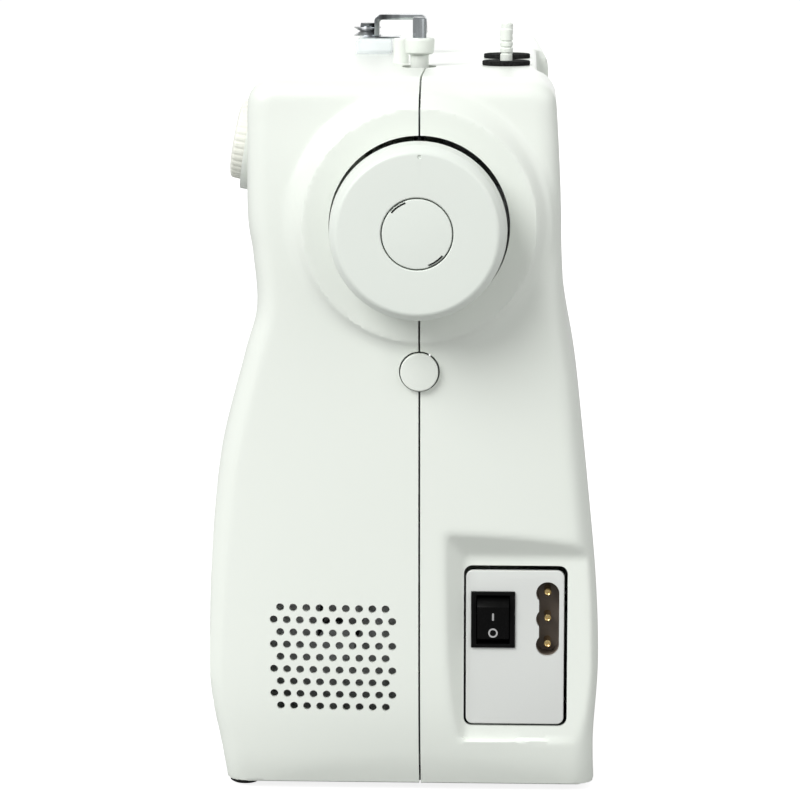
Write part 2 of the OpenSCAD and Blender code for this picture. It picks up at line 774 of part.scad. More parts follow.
module presser_spring() color("gray") {
    steps = coil_turns * coil_n;
    rise = spring_l / steps;
    rings = [for (i = [0:steps]) let (a = i * 360 / coil_n) [for (s = [0:coil_sides - 1])
        let (r = spring_r + spring_wire_r * cos(s * 360 / coil_sides),
            z = spring_z + i * rise + spring_wire_r * sin(s * 360 / coil_sides))
            [needle_x + r * cos(a), presser_y + r * sin(a), z]]];
    points = [for (ring = rings, p = ring) p];
    sides = [for (i = [0:steps - 1], s = [0:coil_sides - 1])
        let (a = i * coil_sides + s, b = i * coil_sides + (s + 1) % coil_sides)
            [a, a + coil_sides, b + coil_sides, b]];
    ends = [[for (s = [0:coil_sides - 1]) s], [for (s = [coil_sides - 1:-1:0]) steps * coil_sides + s]];
    polyhedron(points, concat(sides, ends));
}
module foot_holder() color("silver") translate([0, 0, presser_lift]) {
    difference() {
        union() {
            rod_z(114, 132, needle_x, presser_y, 6);
            block([needle_x - 5, 16, 107], [needle_x + 5, presser_y + 5, 118]);
            rod_x(needle_x - 14, needle_x - 5, presser_y, 126, 2);
            rod_x(needle_x - 15, needle_x - 10, presser_y, 126, 5);
        }
        rod_z(121.5, 140, needle_x, presser_y, presser_bar_r + fit);
        rod_x(needle_x - 8, needle_x + 8, ankle_y, ankle_z, ankle_r + 0.1);
        block([needle_x - 8, 14, 105], [needle_x + 8, 19.5, 108.6]);
    }
}
module presser_foot() color("silver") translate([0, 0, presser_lift]) {
    difference() {
        union() {
            block([needle_x - 10, -10, bed_h + 0.4], [needle_x + 10, 24, bed_h + 2]);
            for (side = [-1, 1]) {
                translate([needle_x + side * 7.2, ankle_y, ankle_z]) rotate([0, 90,
                    0]) cylinder(r = 2.8, h = 2.4, center = true);
                block([needle_x + side * 7.2 - 1.2, ankle_y - 2.8, bed_h + 1],
                    [needle_x + side * 7.2 + 1.2, ankle_y + 2.8, ankle_z]);
            }
            rod_x(needle_x - 8.4, needle_x + 8.4, ankle_y, ankle_z, ankle_r);
        }
        block([needle_x - 4.5, needle_y - 2, bed_h], [needle_x + 4.5, needle_y + 2, bed_h + 5]);
        block([needle_x - 1, -12, bed_h], [needle_x + 1, needle_y, bed_h + 5]);
    }
}
module presser_lever() color("white") {
    translate([0, lever_y, lever_z]) rotate([lever_up, 0, 0])
        along_x(needle_x + 8, needle_x + 13) difference() {
            union() {
                circle(r = 6);
                polygon([[-4, -3], [4, 3], [20, -16], [30, -30], [25, -36], [12, -24]]);
            }
            circle(r = pivot_r + run);
        }
}
module tension_discs() color("silver") {
    rod_y(-56, -30, needle_x, tension_z, 3);
    for (y = [-52, -48, -44]) rod_y(y, y + 1.4, needle_x, tension_z, 9);
    rod_y(-42, -34, needle_x, tension_z, 5);
}
module tension_dial() color("white") {
    rod_y(-68, -60.2, needle_x, tension_z, tension_r);
    rod_y(-60.4, -56.4, needle_x, tension_z, 3.8);
}
module length_dial() color("white") {
    rod_y(-66.6, -62.6, length_spot[0], length_spot[1], length_r);
    rod_y(-63, -44, length_spot[0], length_spot[1], 3.5);
}
module pattern_dial() color("ivory") {
    tilted_dial() {
        translate([0, 0, 0.4]) difference() {
            cylinder(r = dial_r, h = 8.4);
            for (a = [0:12:359]) rotate([0, 0, a]) translate([dial_r + 0.6, 0, 1]) cylinder(r = 0.9, h = 9);
        }
        translate([0, 0, -22]) cylinder(r = dial_stem_r, h = 23);
    }
}
module reverse_lever() color("white") difference() {
    union() {
        block([78, -75.6, 143], [112, -72, 158]);
        for (x = [84, 102]) block([x, -73, 147.5], [x + 4, reverse_y, 152.5]);
        rod_x(84, 106, reverse_y, reverse_z, 4);
    }
    rod_x(80, 110, reverse_y, reverse_z, reverse_pin_r + run);
}

// ---- bed ----
module needle_plate() color("silver") {
    difference() {
        block([plate_x[0], 0.3, bed_h - 1.6], [plate_x[1], 46, bed_h]);
        block([needle_x - 4, needle_y - 1.2, bed_h - 3], [needle_x + 4, needle_y + 1.2, bed_h + 1]);
        for (x = feed_rows) block([needle_x + x - 1.2, 10.4, bed_h - 3],
            [needle_x + x + 1.2, 36, bed_h + 1]);
    }
}
module feed_dog() color("gray") {
    block([needle_x - 12, 13.2, 92], [needle_x + 12, 33, 98]);
    for (x = feed_rows, i = [0:8])
        translate([needle_x + x, 14.3 + i * 2.1, 97.8]) rotate([0, -90, 0])
            translate([0, 0, -0.8]) linear_extrude(1.6) polygon([[0, -1.05], [3.5, -1.05],
                [4.1, 0.8], [3.5, 1.04], [0, 1.04]]);
    block([needle_x - 8, 15, 84], [-60, 26, 90]);
    block([needle_x - 8, 15, 84], [needle_x + 8, 26, 93]);
}
module hook_cover() color("lightblue") {
    block([plate_x[0], -30.2, bed_h - 2.2], [plate_x[1], -0.1, bed_h]);
}
module table_outline(d) {
    polygon(inset(concat(
        [[column_x - 0.8 + d, -83.5], [column_x - 0.8 + d, 80]],
        arc([front_x + 26, 80 - 22], 22, 90, 180),
        arc([front_x + 34, -83.5 + 30], 30, 180, 270)
    ), d));
}
module extension_table() color("white") {
    difference() {
        translate([0, 0, floor_gap]) linear_extrude(bed_h - floor_gap) table_outline(0);
        difference() {
            translate([0, 0, floor_gap + wall]) linear_extrude(bed_h - floor_gap - 2 * wall) table_outline(wall);
            block([-210, arm_y[0] - 0.6 - wall, 0], [60, arm_y[1] + 0.6 + wall, 200]);
        }
        block([arm_x - 0.8, arm_y[0] - 0.6, -1], [60, arm_y[1] + 0.6, 200]);
        block([-168, -90, 14], [10, -75, 88]);
        rod_x(-172, 14, lid_y, lid_z, hinge_r + run);
    }
}
module accessory_lid() color("white") {
    block([-167.5, -83.4, 14.6], [9.5, -81, 87.5]);
    rod_x(-171, 13, lid_y, lid_z, hinge_r);
}

// ---- top fittings ----
module spool_pin(x) {
    difference() {
        rod_z(268, body_h + pin_out + 2, x, pin_y, spool_pin_r);
        for (z = [5, 7.6, 10.2]) translate([x, pin_y, body_h + z]) difference() {
            cylinder(r = 4, h = 0.5);
            translate([0, 0, -1]) cylinder(r = spool_pin_r - 0.5, h = 3);
        }
    }
}
module spool_pin_right() color("white") spool_pin(pin_spots[0]);
module spool_pin_left() color("white") spool_pin(pin_spots[1]);
module spool_felts() color("black") {
    for (x = pin_spots) difference() {
        rod_z(body_h, body_h + 2, x, pin_y, felt_r);
        rod_z(body_h - 1, body_h + 3, x, pin_y, spool_pin_r + 0.15);
    }
}
module winder_arm() color("gray") {
    difference() {
        union() {
            rod_z(288, 292, winder_x, winder_y, 7);
            rod_z(288, 292, winder_x, winder_pivot_y, 7);
            block([winder_x - 5, winder_pivot_y, 288], [winder_x + 5, winder_y, 292]);
        }
        rod_z(280, 300, winder_x, winder_y, spindle_r - spindle_step + run);
        rod_z(280, 300, winder_x, winder_pivot_y, pivot_r + run);
    }
}
module winder_spindle() color("silver") {
    rod_z(266, flange_top, winder_x, winder_y, spindle_r - spindle_step);
    rod_z(flange_top, flange_top + post_l, winder_x, winder_y, spindle_r);
    rod_z(266, 271, winder_x, winder_y, 13);
}
module winder_flange() color("white") {
    difference() {
        union() {
            rod_z(294, flange_top - 6.9, winder_x, winder_y, 4);
            rod_z(flange_top - 6.9, flange_top, winder_x, winder_y, 6.6);
        }
        rod_z(290, 330, winder_x, winder_y, spindle_r - spindle_step + fit);
    }
}
module winder_stopper() color("white") {
    rod_z(body_h, body_h + 11, stopper_spot[0], stopper_spot[1], 3.4);
}
module thread_guide() color("silver") {
    block([-34, -27, body_h], [-6, -10, body_h + 7]);
    rod_z(body_h + 7, body_h + 9, -20, -22, 3);
    for (z = [8, 10]) rod_z(body_h + z, body_h + z + 1.2, -20, -22, 6);
    rod_z(body_h + 11, body_h + 14, -20, -22, 3.5);
    block([-24, -18.6, body_h + 6.9], [-12, -16.2, body_h + 18]);
    block([-24, -18.6, body_h + 15.6], [-12, 6, body_h + 18]);
    block([-24, 3.6, body_h + 9], [-12, 6, body_h + 18]);
}
module carrying_handle() color("white") {
    difference() {
        union() {
            block([pocket_x[0] + 1, handle_y - 4.2, 236], [pocket_x[1] - 1, handle_y + 3.4, 250]);
            for (x = [pocket_x[0] + 1, pocket_x[1] - 12]) {
                block([x, handle_y - 4.2, 244], [x + 11, handle_y + 3.4, handle_z]);
                rod_x(x, x + 11, handle_y, handle_z, 4.2);
            }
        }
        for (x = pocket_x) rod_x(x - 10, x + 10, handle_y, handle_z, pivot_r + run);
    }
}

// ---- inlet ----
module inlet_panel() color("gainsboro") {
    difference() {
        block([panel_x - 2, 28.2, 31.6], [panel_x + 0.4, 69.8, 98.4]);
        block(
            [panel_x - 3, switch_y[0] - 0.2, switch_ends[0] - 0.2],
            [panel_x + 1, switch_y[1] + 0.2, switch_ends[1] + 0.2]
        );
        block([panel_x - 3, 57.4, 60.7], [panel_x + 1, 68.4, 94.1]);
    }
}
module inlet_socket() color("rosybrown") {
    difference() {
        block([panel_x - 22, 57.6, 60.9], [panel_x + 0.8, 68.2, 93.9]);
        for (i = [-1:1]) rod_x(panel_x - 14, panel_x + 2, inlet_y, inlet_z + i * pin_pitch, lobe_r - 0.8);
    }
    for (i = [-1:1]) rod_x(panel_x - 15, panel_x - 3, inlet_y, inlet_z + i * pin_pitch, inlet_pin_r);
}
module switch_body() color("black") {
    difference() {
        block([panel_x - 20, switch_y[0], switch_ends[0]], [panel_x + 1.4, switch_y[1], switch_ends[1]]);
        block([panel_x - 8, rocker_y[0] - 0.4, switch_z - 10.6],
            [panel_x + 3, rocker_y[1] + 0.4, switch_z + 10.6]);
    }
    rod_y(switch_y[0] + 1, switch_y[1] - 1, panel_x - 4, switch_z, 1);
}
module switch_rocker() color("black") {
    translate([panel_x - 4, 0, switch_z]) difference() {
        intersection() {
            rod_y(rocker_y[0], rocker_y[1], 0, 0, 10);
            union() {
                block([-2, 30, -10.4], [6, 50, 0.2]);
                rotate([0, 2 * rocker_tilt, 0]) block([-2, 30, -0.2], [6, 50, 10.4]);
            }
        }
        rod_y(30, 50, 0, 0, 1 + run);
    }
}
module lamp() color("lightyellow") {
    block([needle_x + 24.4, -11.6, head_z + 0.2], [needle_x + 39.6, 5.6, head_z + 8]);
}

front_cover();
rear_cover();
face_cover();
bed_cover();
base_pan();
feet();
arm_frame();
bed_frame();
screws();
screw_cap();
bearings();
pivot_pins();
needle_plate();
motor();
belts();
inlet_panel();
inlet_socket();
switch_body();
switch_rocker();
lamp();
thread_guide();
winder_stopper();
spool_felts();
tension_discs();
bobbin_case();
bobbin();
presser_spring();
arm_shaft();
shaft_fittings();
handwheel();
handwheel_cap();
motor_pulley();
lower_shaft();
rotary_hook();
stitch_cams();
zigzag_rod();
cradle();
needle_bar();
needle_bar_link();
needle_clamp();
needle();
take_up_lever();
presser_bar();
foot_holder();
presser_foot();
presser_lever();
feed_dog();
pattern_dial();
length_dial();
tension_dial();
reverse_lever();
spool_pin_right();
spool_pin_left();
winder_arm();
winder_spindle();
winder_flange();
extension_table();
accessory_lid();
hook_cover();
carrying_handle();
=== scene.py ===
"""Domestic free-arm sewing machine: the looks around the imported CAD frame."""
import json
import math

import bmesh
import bpy
import numpy as np
from mathutils import Matrix, Vector


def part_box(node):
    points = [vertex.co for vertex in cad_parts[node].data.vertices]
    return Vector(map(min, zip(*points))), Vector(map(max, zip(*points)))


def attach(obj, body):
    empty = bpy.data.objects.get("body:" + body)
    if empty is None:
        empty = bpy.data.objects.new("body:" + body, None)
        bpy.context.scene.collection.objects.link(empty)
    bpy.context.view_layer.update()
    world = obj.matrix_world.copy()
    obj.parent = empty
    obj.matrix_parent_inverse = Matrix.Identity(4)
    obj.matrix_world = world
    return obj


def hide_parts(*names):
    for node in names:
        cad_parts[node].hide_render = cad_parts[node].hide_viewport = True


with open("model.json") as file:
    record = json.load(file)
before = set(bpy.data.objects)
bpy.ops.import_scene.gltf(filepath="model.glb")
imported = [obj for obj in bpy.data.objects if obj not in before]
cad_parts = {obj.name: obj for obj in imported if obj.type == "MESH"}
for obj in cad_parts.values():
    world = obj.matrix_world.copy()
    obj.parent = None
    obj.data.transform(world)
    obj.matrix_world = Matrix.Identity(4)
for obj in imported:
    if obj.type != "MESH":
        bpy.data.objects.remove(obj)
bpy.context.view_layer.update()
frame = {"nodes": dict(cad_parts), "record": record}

MM = 0.001
BODY_OF = {node: body
           for body, nodes in frame["record"]["behaviour"]["bodies"].items() for node in nodes}
SLOT_OF = {part["node"]: part["material_slot"] for part in frame["record"]["subparts"]}


def box_mm(node):
    """Lowest and highest corner of a CAD node, in millimetres."""
    low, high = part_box(node)
    return Vector(low) / MM, Vector(high) / MM


# ---------------------------------------------------------------- dimensions, in millimetres
WALL = 2.6
BED_TOP = 102
BED_CHANNEL_Y = (-34.6, 50.6)
SEAM_Y = 8.6
SEAM_GAP = 0.8
HEAD_X = -200
FACE_X = -172
COLUMN_X = 25
TOP_Z = 306
BASE_Z = 3.5
ARM_Z = 214
HEAD_Z = 182
SHAFT_Z = (box_mm("handwheel")[0].z + box_mm("handwheel")[1].z) / 2
WHEEL_R = (box_mm("handwheel")[1].z - box_mm("handwheel")[0].z) / 2
WHEEL_X = box_mm("handwheel")[1].x
RECESS_R = 37.5
CAP_Z = 184.6
CAP_R = 7.9
NEEDLE_X = -150
PANEL_X = 160
SWITCH_Z = 77.2
INLET_Y = 62.8
INLET_Z = 77.4
PIN_PITCH = 11.2
PIN_Y = 43.4
PIN_SPOTS = (72, 20)
WINDER = (80, 5.6)
STOPPER = (60, -3.3)
DIAL_CENTRE = Vector((125, -62.3, 276.8))
DIAL_TILT = math.radians(10.3)
LENGTH_DIAL_X = 62
LENGTH_DIAL_Z = 236
LENGTH_DIAL_R = 12.2
TENSION_DIAL_Z = 262
TENSION_DIAL_R = 14
HANDLE_X = (-58, 98)
HANDLE_Y = 61.8
HANDLE_Z = 282
POCKET_MOUTH_X = 190
HANDLE_POCKET_Y = 56.8
HANDLE_POCKET_Z = 226
FEET_XY = ((141, -67.6), (116, 60), (42, -60), (42, 60), (-88, 8))

# [y, z] stations of the column's front and rear lines, [x, z] stations of its end line
FRONT_LINE = [(-75, BASE_Z), (-77.4, 20), (-83, 42), (-84.5, 58), (-82.5, 100), (-76.2, 148),
              (-65.5, 190), (-60.2, 210), (-61.6, 232), (-63.9, 250), (-63.7, 292)]
REAR_LINE = [(83.2, BASE_Z), (82.6, 25), (84.5, 58), (83, 97), (78.4, 144), (74.8, 175),
             (69.8, 204), (67.7, 230), (66.8, 262), (65.2, 292)]
END_LINE = [(155, BASE_Z), (161, 18), (167.5, 44), (170.5, 80), (171.5, 150), (171.5, 215),
            (168.5, 258), (164, 288)]


# ---------------------------------------------------------------- outlines
def smooth(points, steps=10):
    """Catmull-Rom curve through the points."""
    p = [np.array(v, float) for v in points]
    out = []
    for i in range(len(p) - 1):
        a, b, c, d = p[max(i - 1, 0)], p[i], p[i + 1], p[min(i + 2, len(p) - 1)]
        for k in range(steps):
            t = k / steps
            square, cube = 2 * a - 5 * b + 4 * c - d, 3 * (b - c) + d - a
            out.append(b + 0.5 * t * ((c - a) + t * (square + t * cube)))
    out.append(p[-1])
    return out


def arc(centre, radius, start, end, steps=16):
    """Points on an arc, angles in degrees."""
    return [np.array(centre, float) + radius * np.array([math.cos(a), math.sin(a)])
            for a in np.radians(np.linspace(start, end, steps + 1))]


def pts(*points):
    """Points as arrays, so that outlines add up."""
    return [np.array(p, float) for p in points]


CORNER = 12
CROWN_R = 340
CROWN_X = 172.5
OUTER_STEP = 12
END_OUTLINE = (pts((83.2, -OUTER_STEP)) + smooth(REAR_LINE)
               + arc((65.2 - CORNER, TOP_Z - CORNER), CORNER, 15, 90)
               + arc((-63.7 + CORNER, TOP_Z - CORNER), CORNER, 90, 165)
               + smooth(FRONT_LINE)[::-1] + pts((-75, -OUTER_STEP)))
SIDE_OUTLINE = (pts((154, -OUTER_STEP)) + smooth(END_LINE)
                + arc((163 - 24, TOP_Z + OUTER_STEP - 24), 24, 10, 90)
                + arc((HEAD_X + 34, TOP_Z + OUTER_STEP - 34), 34, 90, 180)
                + arc((HEAD_X + 18, HEAD_Z + 18), 18, 180, 270)
                + arc((-112, HEAD_Z + 12), 12, -90, -20)
                + arc((-86, ARM_Z - 12), 12, 160, 90)
                + arc((COLUMN_X - 20, ARM_Z - 20), 20, 90, 0)
                + pts((COLUMN_X, -OUTER_STEP)))
PLAN_OUTLINE = (arc((HEAD_X + 30, -27.5), 30, 180, 268)
                + pts((COLUMN_X - 5, -64.5), (COLUMN_X - 4, -90))
                + arc((CROWN_X - CROWN_R, SEAM_Y), CROWN_R, -16, 16, 40)
                + pts((COLUMN_X - 4, 90), (COLUMN_X - 5, 66.5))
                + arc((HEAD_X + 30, 28), 30, 92, 180))
BOSS_OUTLINE = pts((140, 0), (140, 57), (164.6, 54.5), (171.4, 48.6), (171.4, 0))


# ---------------------------------------------------------------- distance fields
def polygon_distance(u, v, outline):
    """Signed distance to a closed polygon, negative inside."""
    u, v = np.broadcast_arrays(np.asarray(u, float), np.asarray(v, float))
    best = np.full(u.shape, 1e18)
    inside = np.zeros(u.shape, bool)
    for a, b in zip(outline, outline[1:] + outline[:1]):
        e = b - a
        length = e @ e
        if length < 1e-12:
            continue
        t = np.clip(((u - a[0]) * e[0] + (v - a[1]) * e[1]) / length, 0, 1)
        best = np.minimum(best, (u - a[0] - t * e[0]) ** 2 + (v - a[1] - t * e[1]) ** 2)
        crosses = (a[1] > v) != (b[1] > v)
        if abs(e[1]) > 1e-12:
            inside ^= crosses & (u < a[0] + (v - a[1]) * e[0] / e[1])
    return np.where(inside, -1, 1) * np.sqrt(best)


def round_max(a, b, r):
    """Intersection of two fields, with its edge rounded to radius r."""
    return np.minimum(np.maximum(a, b), -r) + np.hypot(np.maximum(a + r, 0), np.maximum(b + r, 0))


def round_min(a, b, r):
    """Union of two fields, with its crease filled to radius r."""
    return -round_max(-a, -b, r)


def slab(u, low, high):
    """Signed distance to the space between two planes."""
    return np.maximum(low - u, u - high)


def inlet_pocket(x, y, z):
    """Recess of the mains inlet: wider at its mouth than at the panel, open at the rear."""
    mouth, behind = POCKET_MOUTH_X, 110
    side = polygon_distance(x, y, pts((PANEL_X, 28.4), (mouth, -5.4), (mouth, behind), (PANEL_X, behind)))
    ends = polygon_distance(x, z, pts((PANEL_X, 24), (mouth, 40), (mouth, 146.5), (PANEL_X, 104)))
    return round_max(side, ends, 1.5)


def handle_pocket(x, y, z):
    """Recess at the rear of the arm that the folded handle lies in."""
    level = round_max(slab(x, *HANDLE_X), HANDLE_POCKET_Y - y, 3)
    return round_max(level, HANDLE_POCKET_Z - z, 3)


def body(x, y, z):
    """Outer surface of arm, head and column."""
    profile = polygon_distance(y, z, END_OUTLINE)
    side = polygon_distance(x, z, SIDE_OUTLINE)
    plan = polygon_distance(x, y, PLAN_OUTLINE)
    # the upright edges are crisp on the arm and soft on the column
    edge = 3.5 + 8.5 * np.clip((x - 20) / 60, 0, 1)
    shape = round_max(round_max(profile, side, 9), plan, edge)
    shape = np.maximum(shape, BASE_Z - z)
    boss = polygon_distance(x, np.hypot(y - SEAM_Y, z - SHAFT_Z), BOSS_OUTLINE)
    return round_min(shape, boss, 3)


def body_outer(x, y, z):
    """Outer surface of the covers, with both recesses."""
    shape = round_max(body(x, y, z), -inlet_pocket(x, y, z), 1.2)
    return round_max(shape, -handle_pocket(x, y, z), 1.5)


def body_inner(x, y, z):
    """Inner surface of the covers, one wall inside the outer one."""
    shape = np.maximum(body(x, y, z) + WALL, WALL - inlet_pocket(x, y, z))
    return np.maximum(shape, WALL - handle_pocket(x, y, z))


def rounded_block(outline, low, high, edge):
    """Field of an upright prism with rounded edges."""
    return lambda x, y, z: round_max(polygon_distance(x, y, outline), slab(z, low, high), edge)


def surface_net(field, xs, ys, zs, polish=3):
    """Closed quad mesh of a field's zero surface on a rectilinear grid."""
    axes = [np.asarray(a, float) for a in (xs, ys, zs)]
    d = field(axes[0][:, None, None], axes[1][None, :, None], axes[2][None, None, :])
    cells = tuple(n - 1 for n in d.shape)
    total = int(np.prod(cells))
    sums = np.zeros((total, 3))
    counts = np.zeros(total)
    quads = []
    for axis in range(3):
        low = [slice(None)] * 3
        high = [slice(None)] * 3
        low[axis], high[axis] = slice(0, -1), slice(1, None)
        a, b = d[tuple(low)], d[tuple(high)]
        index = np.nonzero((a < 0) != (b < 0))
        t = a[index] / (a[index] - b[index])
        place = np.stack([axes[k][index[k]] for k in range(3)], 1)
        place[:, axis] += t * (axes[axis][index[axis] + 1] - axes[axis][index[axis]])
        u, v = (axis + 1) % 3, (axis + 2) % 3
        corners = []
        keep = np.ones(len(t), bool)
        for du, dv in ((0, 0), (-1, 0), (-1, -1), (0, -1)):
            cell = [index[k].copy() for k in range(3)]
            cell[u] = cell[u] + du
            cell[v] = cell[v] + dv
            good = (cell[u] >= 0) & (cell[u] < cells[u]) & (cell[v] >= 0) & (cell[v] < cells[v])
            flat = np.ravel_multi_index([np.clip(cell[k], 0, cells[k] - 1) for k in range(3)], cells)
            for k in range(3):
                sums[:, k] += np.bincount(flat[good], place[good, k], total)
            counts += np.bincount(flat[good], minlength=total)
            corners.append(flat)
            keep &= good
        quad = np.stack(corners, 1)
        flip = a[index] > 0
        quad[flip] = quad[flip][:, ::-1]
        quads.append(quad[keep])
    used = counts > 0
    number = np.cumsum(used) - 1
    points = sums[used] / counts[used][:, None]
    h = 0.05
    for _ in range(polish):
        x, y, z = points.T
        value = field(x, y, z)
        slope = np.stack([
            (field(x + h, y, z) - field(x - h, y, z)) / (2 * h),
            (field(x, y + h, z) - field(x, y - h, z)) / (2 * h),
            (field(x, y, z + h) - field(x, y, z - h)) / (2 * h)], 1)
        size = np.maximum((slope ** 2).sum(1), 0.25)
        points -= slope * np.clip(value / size, -1, 1)[:, None]
    return points, number[np.concatenate(quads)]


# ---------------------------------------------------------------- mesh helpers
def make_object(name, points, faces, angle=35):
    """Object from points in millimetres, smooth below the given angle."""
    mesh = bpy.data.meshes.new(name)
    mesh.from_pydata((np.asarray(points, float) * MM).tolist(), [], [list(map(int, f)) for f in faces])
    mesh.update()
    obj = bpy.data.objects.new(name, mesh)
    bpy.context.scene.collection.objects.link(obj)
    shade(obj, angle)
    return obj


def shade(obj, angle=35):
    """Smooth shading with sharp edges above an angle in degrees."""
    obj.data.shade_smooth()
    obj.data.set_sharp_from_angle(angle=math.radians(angle))


def bake_modifiers(obj):
    """Applies the modifiers to the mesh."""
    graph = bpy.context.evaluated_depsgraph_get()
    mesh = bpy.data.meshes.new_from_object(obj.evaluated_get(graph))
    old = obj.data
    obj.modifiers.clear()
    obj.data = mesh
    bpy.data.meshes.remove(old)


def cut(obj, *tools, operation="DIFFERENCE", solver="MANIFOLD"):
    """Boolean with closed tools, one after the other; the tools are removed."""
    for tool in tools:
        mod = obj.modifiers.new("cut", "BOOLEAN")
        mod.operation = operation
        mod.solver = solver
        mod.object = tool
    bake_modifiers(obj)
    for tool in tools:
        bpy.data.objects.remove(tool)


def copy_of(obj, name):
    """Second object with its own copy of the mesh."""
    twin = obj.copy()
    twin.data = obj.data.copy()
    twin.name = name
    bpy.context.scene.collection.objects.link(twin)
    return twin


def block(low, high, name="tool"):
    """Box between its lowest and highest corners."""
    (a, b, c), (d, e, f) = low, high
    points = [(x, y, z) for x in (a, d) for y in (b, e) for z in (c, f)]
    faces = [(0, 1, 3, 2), (4, 6, 7, 5), (0, 4, 5, 1), (2, 3, 7, 6), (0, 2, 6, 4), (1, 5, 7, 3)]
    return make_object(name, points, faces)


def prism(outline, low, high, axis="z", name="tool"):
    """Closed prism of an anticlockwise outline, extruded along an axis."""
    order = {"x": (2, 0, 1), "y": (1, 2, 0), "z": (0, 1, 2)}[axis]
    rows = [[(p[0], p[1], h) for p in outline] for h in (low, high)]
    points = np.array(rows[0] + rows[1], float)[:, order]
    n = len(outline)
    faces = [tuple(range(n))[::-1], tuple(range(n, 2 * n))]
    faces += [(i, (i + 1) % n, n + (i + 1) % n, n + i) for i in range(n)]
    return make_object(name, points, faces)


def circle(centre, radius, steps=48):
    """Points of a full circle, without a doubled first point."""
    return arc(centre, radius, 0, 360 - 360 / steps, steps - 1)


def rod(axis, low, high, centre, radius, steps=48):
    """Cylinder along an axis; its centre is [y, z] on x, [z, x] on y and [x, y] on z."""
    return prism(circle(centre, radius, steps), low, high, axis)


def joined(objs, name):
    """One object from the meshes of several, which are removed."""
    points, faces = [], []
    for obj in objs:
        base = len(points)
        points += [tuple(v.co / MM) for v in obj.data.vertices]
        faces += [[base + i for i in p.vertices] for p in obj.data.polygons]
        bpy.data.objects.remove(obj)
    return make_object(name, points, faces)


def lathe(name, profile, place, steps=96, wobble=None, angle=35):
    """Solid of revolution of (radius, height) points about local Z, put in place by a matrix."""
    rings, points, faces = [], [], []
    for k, (radius, height) in enumerate(profile):
        if radius <= 1e-6:
            rings.append([len(points)])
            points.append(place @ Vector((0, 0, height)))
            continue
        ring = []
        for i in range(steps):
            a = 2 * math.pi * i / steps
            r = radius * (wobble(a, k) if wobble else 1)
            ring.append(len(points))
            points.append(place @ Vector((r * math.cos(a), r * math.sin(a), height)))
        rings.append(ring)
    pairs = list(zip(rings, rings[1:]))
    if len(rings[0]) > 1:
        pairs.append((rings[-1], rings[0]))
    for low, high in pairs:
        for i in range(steps):
            j = (i + 1) % steps
            if len(low) == 1 and len(high) == 1:
                continue
            if len(low) == 1:
                faces.append((low[0], high[j], high[i]))
            elif len(high) == 1:
                faces.append((low[i], low[j], high[0]))
            else:
                faces.append((low[i], low[j], high[j], high[i]))
    return make_object(name, [tuple(p) for p in points], faces, angle)


def fillet(corner_in, corner, corner_out, radius, steps=6):
    """Rounded corner between two straight stretches of a profile."""
    a, b, c = (Vector(v) for v in (corner_in, corner, corner_out))
    u, v = (a - b).normalized(), (c - b).normalized()
    half = math.acos(max(-1, min(1, u.dot(v)))) / 2
    reach = radius / math.tan(half)
    centre = b + (u + v).normalized() * radius / math.sin(half)
    start, end = b + u * reach - centre, b + v * reach - centre
    sweep = start.angle_signed(end)
    return [tuple(centre + Matrix.Rotation(-sweep * k / steps, 2) @ start) for k in range(steps + 1)]


def rounded(profile, radii):
    """Profile with its inner corners filleted by the given radii."""
    out = [tuple(profile[0])]
    for i in range(1, len(profile) - 1):
        r = radii.get(i, 0)
        if r:
            out += fillet(profile[i - 1], profile[i], profile[i + 1], r)
        else:
            out.append(tuple(profile[i]))
    out.append(tuple(profile[-1]))
    return out


def facing(direction, origin):
    """Matrix that takes local Z to a direction, at an origin."""
    turn = Vector(direction).to_track_quat("Z", "Y").to_matrix().to_4x4()
    return Matrix.Translation(Vector(origin)) @ turn


def bevel(obj, width, segments=3, angle=35):
    """Rounds the edges that are sharper than an angle in degrees."""
    mod = obj.modifiers.new("bevel", "BEVEL")
    mod.width = width * MM
    mod.segments = segments
    mod.limit_method = "ANGLE"
    mod.angle_limit = math.radians(angle)
    mod.use_clamp_overlap = True
    bake_modifiers(obj)
    shade(obj, angle)


def put(obj, node, material, *others):
    """Rides a piece on its node's body, in place of the node."""
    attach(obj, BODY_OF[node])
    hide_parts(node, *others)
    paint(obj, material)


def extra(obj, node, material):
    """Rides a piece of detail on a node's body."""
    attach(obj, BODY_OF[node])
    paint(obj, material)


def paint(obj, material):
    """Gives a piece one material."""
    obj.data.materials.clear()
    obj.data.materials.append(material)


def refined(node, width, segments=2, angle=28):
    """Copy of a CAD node with its facets merged and its edges rounded."""
    source = frame["nodes"][node]
    mesh = source.data.copy()
    obj = bpy.data.objects.new(node + "_part", mesh)
    bpy.context.scene.collection.objects.link(obj)
    bm = bmesh.new()
    bm.from_mesh(mesh)
    bmesh.ops.remove_doubles(bm, verts=bm.verts, dist=1e-6)
    bmesh.ops.dissolve_limit(bm, angle_limit=math.radians(1), verts=bm.verts, edges=bm.edges)
    bm.to_mesh(mesh)
    bm.free()
    bevel(obj, width, segments, angle)
    return obj


